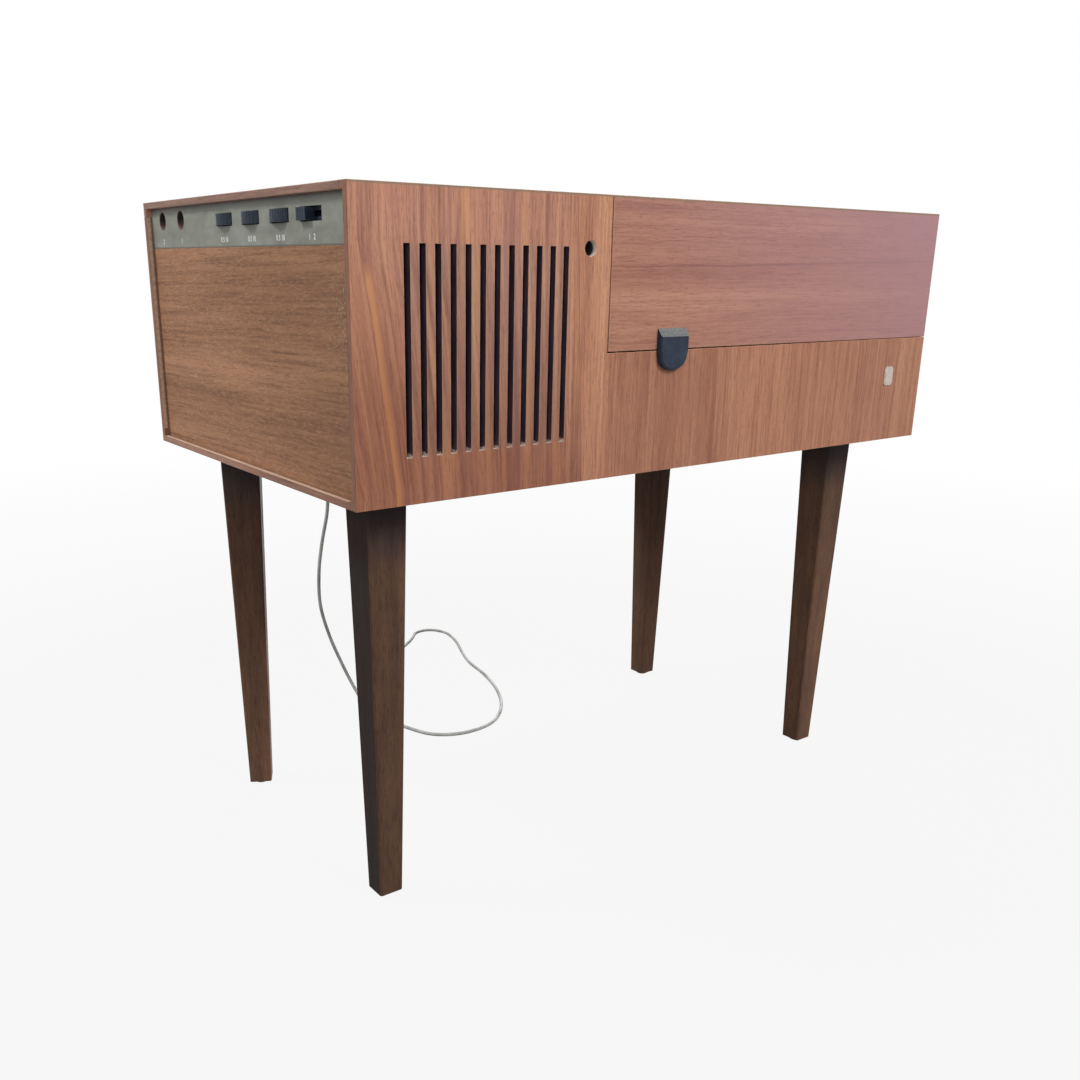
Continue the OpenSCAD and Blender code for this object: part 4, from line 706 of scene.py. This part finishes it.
# painted reflection: a pink-violet sheen towards the right top of the lid front
lid_teak.coat((x + z).span(0.42, 0.88, 0, 0.7), (174, 136, 148))
polished(lid_teak, 0.44, 0.58)
lid_teak.worn((198, 156, 130), 0.55)
olive_top_arris(lid_teak)
lid_top_teak = teak("lid_top_teak", "X", 13.7, PINK_TEAK, 0.06, 0.004, 0.5)
lid_side_teak = teak("lid_side_teak", "Y", 15.1, LID_TEAK, 0.03, 0.0035, 0.5)
# the lid's lower edge sags a little towards the right
SAG, SAG_LENGTH, LOWER_EDGE = 0.0006, 0.1, 0.4535
for name, node, finish, sags_from in (
        ("lid_front_board", "lid_front", lid_teak, 0.1),
        ("lid_top_board", "lid_top", lid_top_teak, None),
        ("lid_right_board", "lid_side", lid_side_teak, 0.2)):
    lid_board = eased_copy(node)
    for point in lid_board.verts if sags_from else ():
        if point.co.z < LOWER_EDGE:
            point.co.z -= SAG * min(1, max(0, (point.co.x - sags_from) / SAG_LENGTH))
    settle(lid_board, name, [finish], [node], body="lid")


# ---- control strip
# A folded steel sheet painted grey green, let into the left end above the panel. Its face has
# four windows and two round holes, and the shelf folded from its foot carries the controls.
strip_paint = mottled("strip_paint", 0.5, ((0.04, 0.03, 0.014), 6, 0.62, 0.4), [
    (0.33, 110, 112, 101), (0.5, 126, 128, 117), (0.68, 144, 147, 138)],
    (0.42, 0.6), (0.0007, 2), 0.00002, shine=0.3)
fading = strip_paint.noise((0.05, 0.09, 0.05), 2, shift=(0, 0.31, 0))
strip_paint.coat(fading.span(0.42, 0.66, 0, 0.35), (152, 156, 150))
x, y, z = strip_paint.spot()
strip_paint.coat(z.span(0.5286, 0.5272, 0, 0.8), (74, 66, 56))
# painted shadow of the top lip along the strip's upper edge
strip_paint.coat(z.span(0.556, 0.5598, 0, 0.75), (50, 46, 46))
dress("control_strip_sheet", "control_strip", [strip_paint], 0.0002, 35)
print_white = mottled("print_white", 0.6, (0.0008,), [
    (0.34, 176, 178, 168), (0.56, 232, 234, 228)])


def figures(bm, text, height, matrix, weight=0.0):
    """Printed figures: a film of paint on a surface, centred on a place."""
    line = bpy.data.curves.new("figures", "FONT")
    line.body = text
    line.size = height / 0.7
    line.align_x = line.align_y = "CENTER"
    line.extrude = 0.00003
    line.offset = weight
    line.resolution_u = 4
    holder = placed("figures", line)
    bpy.context.view_layer.update()
    drawn = holder.evaluated_get(bpy.context.evaluated_depsgraph_get())
    shape = bpy.data.meshes.new_from_object(drawn)
    part = bmesh.new()
    part.from_mesh(shape)
    bpy.data.objects.remove(holder)
    bpy.data.curves.remove(line)
    bpy.data.meshes.remove(shape)
    add(bm, part, matrix)


STRIP_FACE = -0.32002
FIGURE_LEVEL = 0.5325
TO_THE_LEFT = Matrix(((0, 0, -1, 0), (-1, 0, 0, 0), (0, 1, 0, 0), (0, 0, 0, 1)))
scale = bmesh.new()
for text, place in (("1   2", -0.131), ("0 5 10", -0.0811), ("0 5 10", -0.0316),
                    ("0 5 10", 0.0205), ("1", 0.113), ("2", 0.157)):
    figures(scale, text, 0.0038, Matrix.Translation((STRIP_FACE, place, FIGURE_LEVEL)) @ TO_THE_LEFT,
            0.00016)
settle(scale, "strip_figures", [print_white])

# ---- controls
# Three moulded thumb wheels turn on the shafts of their potentiometers and show through the
# windows. A sliding tab works the selector switch, and two round sockets go in from behind.
control_plastic = mottled("control_plastic", 0.5, (0.006, 5, 0.6), [
    (0.36, 30, 36, 48), (0.66, 46, 54, 70)], (0.42, 0.6), (0.0007,), 0.00002,
    shine=0.2)
control_plastic.worn((112, 120, 128), 0.35)
for use in ("volume", "bass", "treble"):
    dress(use + "_thumb_wheel", use + "_wheel", [control_plastic], 0.0002, 45,
          body=use + "_wheel")
dress("selector_finger_tab", "selector_tab", [control_plastic], 0.0003, 35,
      body="selector_tab")
dress("selector_switch_body", "selector_switch", [control_plastic], 0.0003, 35)

phenolic = mottled("brown_phenolic", 0.42, ((0.004, 0.012, 0.0008), 4), [
    (0.34, 84, 54, 38), (0.66, 124, 86, 62)], (0.36, 0.52), (0.0005,), 0.00002)
zinc = mottled("zinc_plate", 0.34, ((0.006, 0.004, 0.005), 5, 0.65), [
    (0.3, 138, 139, 136), (0.5, 172, 174, 172), (0.72, 196, 196, 190)],
    (0.28, 0.5), ((0.0004, 0.003, 0.0012),), 0.00001, metal=1)
socket_dark = mottled("contact_face", 0.6, (0.001,), [
    (0.35, 92, 72, 68), (0.7, 122, 100, 94)], bumps=(0.0006,), depth=0.00002)
SOCKETS, SOCKET_LEVEL = (0.1135, 0.157), 0.5498
BORE_RADIUS, BORE_MOUTH = 0.0074, -0.3193
# painted shade: the upper part of each socket's bore and contact face is darkened, as light falls from
# above
x, y, z = socket_dark.spot()
socket_dark.coat(z.span(0.5455, 0.5505), (18, 17, 17))


def in_socket(middle, normal):
    centre = SOCKETS[middle.y > sum(SOCKETS) / 2]
    from_axis = Vector((middle.y - centre, middle.z - SOCKET_LEVEL)).length
    return from_axis < BORE_RADIUS and middle.x > BORE_MOUTH


dress("round_sockets", "aux_sockets", [phenolic, socket_dark], 0.0002,
      40, in_socket)
dress("shaft_potentiometers", "potentiometers", [zinc], 0.0004, 40)

# ---- lid pull and badge plate
# The lid is lifted by a moulded blue-black pull that hangs over the joint, screwed on from
# inside. A small bare metal plate with cut corners is glued to the front near the right end.
pull_plastic = mottled("pull_plastic", 0.45, (0.008, 5, 0.6, 0, (0.01, 0, 0)), [
    (0.34, 32, 40, 55), (0.6, 44, 54, 70), (0.8, 58, 70, 84)], (0.4, 0.55), (0.0009, 4), 0.00003,
    shine=0.2)
pull_plastic.worn((96, 106, 112), 0.4)
# the pull's upward faces are lighter grey: a painted sheen of the light from above, with dust and wear
pull_top_sheen_and_dust = mottled("pull_top_sheen_and_dust", 0.5, ((0.004, 0.002, 0.002), 5), [
    (0.34, 84, 90, 94), (0.62, 112, 114, 112), (0.8, 128, 130, 126)], (0.4, 0.6))
CROWN_LEVEL, CROWN_REAR = 0.46, -0.1905


def on_crown(middle, normal):
    return normal.z > 0.25 and middle.z > CROWN_LEVEL and middle.y < CROWN_REAR


dress("moulded_lid_pull", "lid_pull", [pull_plastic, pull_top_sheen_and_dust], 0.0005, 14,
      on_crown, "lid")

plate_metal = mottled("plate_metal", 0.36, ((0.003, 0.0012, 0.0007), 4), [
    (0.32, 178, 168, 160), (0.56, 196, 186, 178), (0.8, 208, 202, 196)],
    (0.3, 0.5), (0.0005,), 0.00001, metal=0.85)
badge = bmesh.new()
AT_BADGE = Matrix.Translation((0.2715, FRONT_FACE, 0.4147)) @ ALONG["-Y"]
for wide, high, cut, back, face in (
        (0.0066, 0.009, 0.0022, 0, 0.0009), (0.0052, 0.0074, 0.0016, 0.0008, 0.0014)):
    near, under = wide - cut, high - cut
    plate(badge, [(-near, -high), (near, -high), (wide, -under), (wide, under),
                  (near, high), (-near, high), (-wide, under), (-wide, -under)],
          back, face, 0.0002, 2, 0, AT_BADGE)
settle(badge, "badge_plate", [plate_metal])

# ---- pilot lamp
# A small bulb in a blackened steel tube behind the round hole of the front, on a foot that is
# screwed to the partition. It is unlit.
lamp_black = mottled("lamp_black", 0.7, (0.003, 4), [
    (0.35, 18, 17, 20), (0.7, 40, 36, 36)], depth=0.00003)
bulb_glass = mottled("bulb_glass", 0.12, (0.002,), [
    (0.35, 34, 24, 24), (0.7, 60, 42, 38)], glaze=0.6)
BULB_CENTRE, BULB_REACH = Vector((LAMP[0], -0.166, LAMP[1])), 0.0043
dress("pilot_lamp_tube", "pilot_lamp", [lamp_black, bulb_glass], 0.0002, 40,
      lambda middle, normal: (middle - BULB_CENTRE).length < BULB_REACH)

# ---- sound cloth and loudspeaker
# Black open-weave cloth is stretched over the chipboard baffle and pressed against the back of
# the slotted board. Behind it stands a loudspeaker with a pressed basket and a paper cone.
CLOTH_LOW, CLOTH_HIGH = (-0.308, 0.365), (-0.12875, 0.553)
CLOTH_PLANE, CLOTH_SLACK = -0.1776, 0.00006
THREAD = 0.0011
cloth = bmesh.new()
bmesh.ops.create_grid(cloth, x_segments=72, y_segments=76, size=0.5)
wide, high = CLOTH_HIGH[0] - CLOTH_LOW[0], CLOTH_HIGH[1] - CLOTH_LOW[1]
for point in cloth.verts:
    u, v = point.co.x + 0.5, point.co.y + 0.5
    slack = sin(u * pi * 9) * sin(v * pi * 3) * CLOTH_SLACK
    point.co = (CLOTH_LOW[0] + u * wide, CLOTH_PLANE + slack, CLOTH_LOW[1] + v * high)
weave = Finish("cloth_weave", (30, 25, 28), 0.95, shine=0.15)
x, y, z = weave.spot()
over_under = (x.waves(THREAD) * z.waves(THREAD)).span(-1, 1)
weave.set("Base Color", over_under.ramp(
    (0.15, 28, 24, 31), (0.6, 58, 50, 60), (0.95, 84, 74, 78)))
weave.coat(weave.noise(0.02, 4).span(0.5, 0.75, 0, 0.2), (84, 74, 68))
weave.relief(over_under, 0.0002)
cloth_piece = settle(cloth, "black_sound_cloth", [weave], ["sound_cloth"])
backing = cloth_piece.modifiers.new("thickness", "SOLIDIFY")
backing.thickness = 0.0004
backing.offset = 0

chipboard = mottled("chipboard", 0.8, ((0.004, 0.004, 0.0016), 3, 0.7, 1.2), [
    (0.3, 126, 92, 60), (0.46, 170, 134, 92), (0.62, 196, 164, 122)], depth=0.0002)
dress("loudspeaker_baffle", "speaker_baffle", [chipboard], 0.0003, 40)
basket_paint = mottled("basket_paint", 0.42, (0.012, 5), [
    (0.35, 48, 50, 52), (0.7, 74, 76, 78)], bumps=(0.0016,), depth=0.00004)
MAGNET_FRONT = -0.1155
dress("loudspeaker_basket", "speaker_frame", [basket_paint, zinc], 0.0004, 40,
      lambda middle, normal: middle.y > MAGNET_FRONT)
cone_paper = mottled("cone_paper", 0.85, (0.0012, 5, 0.7), [
    (0.32, 24, 22, 23), (0.68, 52, 48, 46)])
cone_ribs = cone_paper.reach((-0.21225, 0, 0.459), "Y").waves(0.0045)
cone_paper.relief(cone_ribs.span(-1, 1), 0.0002)
cone_paper.relief(cone_paper.cloud, 0.00005)
dress("loudspeaker_cone", "speaker_cone", [cone_paper], 0.0001, 50)


# ---- hinges and stay
# Two zinc-plated butt hinges hold the lid on the rear edges, each leaf with three slotted
# screws. A flat slotted arm turns on a bracket under the lid and brakes on a headed stud.
def slotted_screw(bm, place, along, radius, height, turned, finish=0):
    """A screw's head of a size in millimetres, with its slot: two half discs over a floor."""
    seat = Matrix.Translation(place) @ ALONG[along] @ Matrix.Rotation(turned, 4, "Z")
    start = sin(0.16)
    for turned_half in (0, pi):
        rim = [start + (pi - 2 * start) * step / 12 for step in range(13)]
        plate(bm, [(radius * MM * cos(a), radius * MM * sin(a)) for a in rim], 0, height * MM,
              height * MM * 0.3, 2, finish, seat @ Matrix.Rotation(turned_half, 4, "Z"))
    inner, low = radius * 0.97, height * 0.45
    turn(bm, [(0, 0), (inner, 0), (inner, low), (0, low)], place, along, 24, finish)


dress("lid_leaves", "lid_hinge_leaves", [zinc], 0.0002, 50, body="lid")
dress("case_leaves", "case_hinge_leaves", [zinc], 0.0002, 50)
dress("hinge_pin_rods", "hinge_pins", [nickel], 0.0002, 50)
LEAF_FACE = 0.1914
for name, body, height in (("lid_hinge_screws", "lid", 0.5611), ("case_hinge_screws", "case", 0.5463)):
    screws = bmesh.new()
    for hinge in (-0.0435, 0.22):
        for step, place in enumerate((0.008, 0.025, 0.042)):
            slotted_screw(screws, (hinge + place, LEAF_FACE, height), "Y", 2.6, 0.7, 0.5 + step * 1.1)
    settle(screws, name, [nickel], body=body)
dress("stay_sliding_arm", "stay_arm", [zinc], body="stay_arm")
dress("stay_angle_bracket", "stay_bracket", [zinc], body="lid")
dress("stay_headed_stud", "stay_stud", [nickel])

# ---- back cover
# Brown hardboard with two rows of air slots, let into the rear board and held by small slotted
# screws round its rim. The lead comes out through it in a rubber strain relief.
hardboard = mottled("back_hardboard", 0.62, ((0.0022, 0.0022, 0.0016), 5, 0.7, 0.8), [
    (0.3, 86, 60, 42), (0.5, 112, 80, 56), (0.72, 138, 104, 76)], depth=0.00006)
stain = hardboard.noise(0.07, 4)
hardboard.coat(stain.span(0.5, 0.75, 0, 0.35), (78, 56, 42))
hardboard.set("Roughness", stain.span(0.3, 0.7, 0.52, 0.72))
dress("ventilated_back_cover", "back_cover", [hardboard])
COVER_FACE = 0.18955
COVER_MIDDLE = (-0.2125, 0.46)
screws = bmesh.new()
for x in (-0.3065, -0.2125, -0.1185):
    for step, z in enumerate((0.3745, 0.46, 0.5455)):
        if (x, z) != COVER_MIDDLE:
            slotted_screw(screws, (x, COVER_FACE, z), "Y", 2.8, 0.9, x * 40 + step)
settle(screws, "cover_screws", [zinc])

# ---- record deck
# A pressed steel plate in pale enamel floats on rubber mounts on softwood bearers. It carries
# the platter in its ring, the bearing, the motor under it, the arm and the speed knob.
deck_enamel = mottled("deck_enamel", 0.34, ((0.06, 0.06, 0.02), 5), [
    (0.32, 190, 185, 171), (0.52, 197, 193, 180), (0.75, 203, 200, 188)],
    (0.28, 0.44), (0.0022, 3, 0.6), 0.00005)
deck_enamel.worn((150, 146, 138), 0.5)
dress("pressed_deck_plate", "deck_plate", [deck_enamel], 0.0006, 45)
softwood = mottled("planed_softwood", 0.7, ((0.01, 0.22, 0.01), 3, 0.5, 0.6), [
    (0.34, 176, 138, 92), (0.5, 202, 170, 124), (0.7, 216, 188, 146)],
    bumps=((0.0008, 0.02, 0.0008), 2), depth=0.00006)
dress("deck_bearers", "battens", [softwood], 0.0006, 40)

BEARER_TOP, DECK_TOP = 0.424, 0.44
mounts = bmesh.new()
for step, (x, y) in enumerate((
        (-0.084, -0.13), (0.297, -0.13), (-0.084, 0.13), (0.297, 0.13))):
    turn(mounts, [(0, 0), (8.6, 0), (9, 0.4), (9, 2.6), (6.4, 5.4), (6, 6.2), (6, 7.8), (6.4, 8.6),
                  (9, 11.4), (9, 13.6), (8.6, 14), (3.9, 14), (3.9, 15.8), (0, 15.8)],
         (x, y, BEARER_TOP), steps=40)
    slotted_screw(mounts, (x, y, DECK_TOP), "Z", 6.8, 1.8, 0.4 + step, 1)
settle(mounts, "waisted_deck_mounts", [rubber, zinc], ["deck_mounts"], 35)

motor_iron = mottled("motor_iron", 0.5, ((0.02, 0.02, 0.0006), 2), [
    (0.38, 62, 60, 58), (0.62, 118, 114, 108)], (0.38, 0.62), depth=0.0001, metal=0.6)
CORE_LOW, CORE_HIGH = 0.3958, 0.4204
dress("shaded_pole_motor", "motor", [motor_iron, zinc], 0.0004, 40,
      lambda middle, normal: not CORE_LOW < middle.z < CORE_HIGH)
turned_brass = mottled("turned_brass", 0.3, (0.006, 4), [
    (0.32, 150, 116, 62), (0.7, 206, 168, 98)],
    (0.22, 0.42), ((0.004, 0.004, 0.0002), 2), 0.00001, drawn=True, metal=1)
dress("stepped_motor_pulley", "motor_pulley", [turned_brass], 0.0002, 45, body="motor_rotor")
dress("bearing_bush", "spindle_bearing", [turned_brass])
IDLER, IDLER_HUB = Vector((-0.02261, 0.04885)), 0.0155
dress("idler_disc", "idler_wheel", [zinc, rubber], 0.0001, 45,
      lambda middle, normal: (middle.xy - IDLER).length > IDLER_HUB, "idler")

# ---- platter
# A turned aluminium platter with a stepped rim, a rubber mat with round ribs and a hollow for
# the record's label, and a polished steel spindle that takes a 7.24 mm hole.
SPINDLE = (0.062, 0.0, 0.0)
aluminium = Finish("turned_aluminium", (206, 207, 208), 0.26, metal=1)
from_spindle = aluminium.reach(SPINDLE, "Z")
turned_lines = from_spindle.lines(0.00035)
aluminium.set("Base Color", from_spindle.lines(0.003).ramp(
    (0.3, 180, 182, 184), (0.7, 218, 218, 218)))
aluminium.set("Roughness", turned_lines.span(0.3, 0.7, 0.2, 0.4))
aluminium.relief(turned_lines, 0.00001)
platter = bmesh.new()
turn(platter, [
    (5, 451), (11.6, 451), (12, 451.3), (13.8, 456.6), (14.3, 457), (117.5, 457), (118, 456.5),
    (118, 446.3), (118.3, 446), (122.6, 446), (123.9, 446.9), (124, 447.2), (124, 450.8), (124.8, 451.6),
    (125, 452), (125, 453.4), (124.5, 453.7), (124.5, 454.3), (125, 454.6), (125, 456), (124.5, 456.3),
    (124.5, 456.9), (125, 457.2), (125, 458.6), (124.7, 459.3), (124.1, 459.8), (123.3, 460),
    (5, 460), (5, 451)], SPINDLE, steps=144)
settle(platter, "turned_platter", [aluminium], ["platter"], 30, "platter")

mat_rubber = mottled("mat_rubber", 0.62, (0.02, 5, 0.6), [
    (0.38, 26, 26, 28), (0.7, 50, 50, 52)], (0.54, 0.74))
mat_rubber.relief(mat_rubber.reach(SPINDLE, "Z").waves(0.0011).span(-1, 1), 0.0001)
mat = bmesh.new()
mat_profile = [(5.4, 460), (5.4, 463.3), (5.6, 463.5), (11.8, 463.5), (12.2, 462.7), (47.8, 462.7),
               (48.2, 463.5)]
for rib in range(8):
    inner = 52 + 9 * rib
    mat_profile += [(inner - 0.2, 463.5), (inner + 0.2, 462.3), (inner + 4.3, 462.3), (inner + 4.7, 463.5)]
mat_profile += [(121.4, 463.5), (122, 462.9), (122, 460.3), (121.7, 460), (5.4, 460)]
turn(mat, mat_profile, SPINDLE, steps=144)
settle(mat, "ribbed_platter_mat", [mat_rubber], ["platter_mat"], 30, "platter")

polished_steel = mottled("polished_steel", 0.16, (0.006, 4), [
    (0.3, 184, 184, 184), (0.7, 216, 216, 214)],
    (0.12, 0.26), ((0.002, 0.002, 0.0002), 2), 0.000005, drawn=True, metal=1)
spindle = bmesh.new()
turn(spindle, [
    (0, 414.3), (4.6, 414.3), (5, 414.7), (5, 463.1), (4.6, 463.5), (3.75, 463.5), (3.55, 463.8),
    (3.55, 474), (3.35, 474.9), (2.8, 475.6), (1.6, 476), (0, 476)], SPINDLE)
settle(spindle, "record_spindle", [polished_steel], ["spindle"], 30, "platter")

# ---- pickup arm
# A straight chromed tube balanced in a fork that turns on its post, with a knurled weight, a
# black head shell with a finger lift, the cartridge and its stylus, and a rest beside the mat.
arm_chrome = mottled("arm_chrome", 0.2, (0.008, 4), [
    (0.3, 172, 174, 176), (0.7, 212, 212, 212)],
    (0.14, 0.3), ((0.0004, 0.02, 0.0004), 2), 0.000008, drawn=True, metal=1)
ARM_X, ARM_LEVEL = 0.25, 0.482
WEIGHT_FRONT, SHELL_REAR, STYLUS_TOP = 0.1375, -0.0998, 0.4681
KNURLS, KNURL_LEAN = 46, 4200
knurled = Finish("knurled_weight", (150, 150, 150), 0.34, metal=1)
x, y, z = knurled.spot()
turned_round = (z - ARM_LEVEL).math("ARCTAN2", x - ARM_X) * KNURLS
one_way = (turned_round + y * KNURL_LEAN).math("SINE")
other_way = (turned_round - y * KNURL_LEAN).math("SINE")
diamonds = (one_way * other_way).span(-1, 1)
knurled.set("Base Color", diamonds.ramp((0.2, 104, 104, 104), (0.8, 176, 176, 174)))
knurled.relief(diamonds, 0.0002)


def on_arm(middle, normal):
    if middle.y > WEIGHT_FRONT:
        return 1
    return 2 if middle.y < SHELL_REAR else 0


dress("arm_post", "tonearm_post", [arm_chrome])
dress("arm_fork", "tonearm_yoke", [arm_chrome], body="tonearm_yoke")
dress("arm_tube_and_head", "tonearm", [arm_chrome, knurled, black_plastic],
      0.0003, 45, on_arm, "tonearm")
dress("ceramic_cartridge", "pickup_cartridge", [black_plastic, nickel],
      0.0003, 45, lambda middle, normal: middle.z < STYLUS_TOP, "tonearm")
dress("arm_rest_post", "arm_rest", [black_plastic], 0.0004, 45)

# ---- speed knob
# A moulded knob with a finger fin picks one of four speeds. Its pointer line is filled with
# white, and the speeds are printed on the deck round it.
KNOB = (0.283, -0.098)
PRINT_RADIUS = 0.0195
knob = eased_copy("speed_knob", 0.0005, 3, 45)
block(knob, (KNOB[0] - 0.00035, KNOB[1] + 0.0004, 0.4512), (KNOB[0] + 0.00035, KNOB[1] + 0.0124, 0.45135),
      0.00005, 1)
settle(knob, "speed_knob_with_fin", [black_plastic, print_white], ["speed_knob"],
       30, "speed_knob")
print_black = mottled("print_black", 0.6, (0.0008,), [
    (0.36, 34, 34, 36), (0.66, 84, 82, 78)])
speeds = bmesh.new()
for text, angle in (("16", 90), ("33", 120), ("45", 150), ("78", 180)):
    figures(speeds, text, 0.0028, Matrix.Translation((
        KNOB[0] + PRINT_RADIUS * cos(radians(angle)), KNOB[1] + PRINT_RADIUS * sin(radians(angle)),
        DECK_TOP + 0.00003)))
settle(speeds, "speed_figures", [print_black])

# ---- amplifier and bolts
# A zinc-plated chassis on the floor of the left bay carries the mains transformer and a brown
# board with its capacitors and cooling plate. Hanger bolts with nuts hold the legs.
dress("amplifier_chassis", "amp_chassis", [zinc])
can_blue = mottled("capacitor_sleeve", 0.35, ((0.003, 0.003, 0.02), 4), [
    (0.34, 58, 82, 112), (0.68, 88, 114, 144)], (0.28, 0.46), depth=0.00003)
BOARD_TOP, CAN_TOPS = 0.3749, 0.4032
COOLING_PLATE = (0.0075, 0.0105)


def on_board(middle, normal):
    if middle.z < BOARD_TOP:
        return 0
    return 1 if COOLING_PLATE[0] < middle.y < COOLING_PLATE[1] or middle.z > CAN_TOPS else 2


dress("amplifier_circuit_board", "amplifier_board",
      [phenolic, zinc, can_blue], 0.0003, 45, on_board)
copper_wound = mottled("copper_wound", 0.4, ((0.03, 0.03, 0.0007), 2), [
    (0.36, 104, 62, 38), (0.64, 178, 116, 74)], depth=0.0001, metal=0.4)
CORE_MIDDLE = Vector((-0.216, 0.076, 0.3895))
HALF_WINDING = (0.0162, 0.0121, 0.018)


def on_winding(middle, normal):
    off = [abs(value) for value in middle - CORE_MIDDLE]
    return off[0] < HALF_WINDING[0] and off[1] > HALF_WINDING[1] and off[2] < HALF_WINDING[2]


dress("mains_transformer_core", "mains_transformer", [motor_iron, copper_wound],
      0.0005, 40, on_winding)
dress("leg_hanger_bolts", "leg_bolts", [zinc], 0.0003, 40)
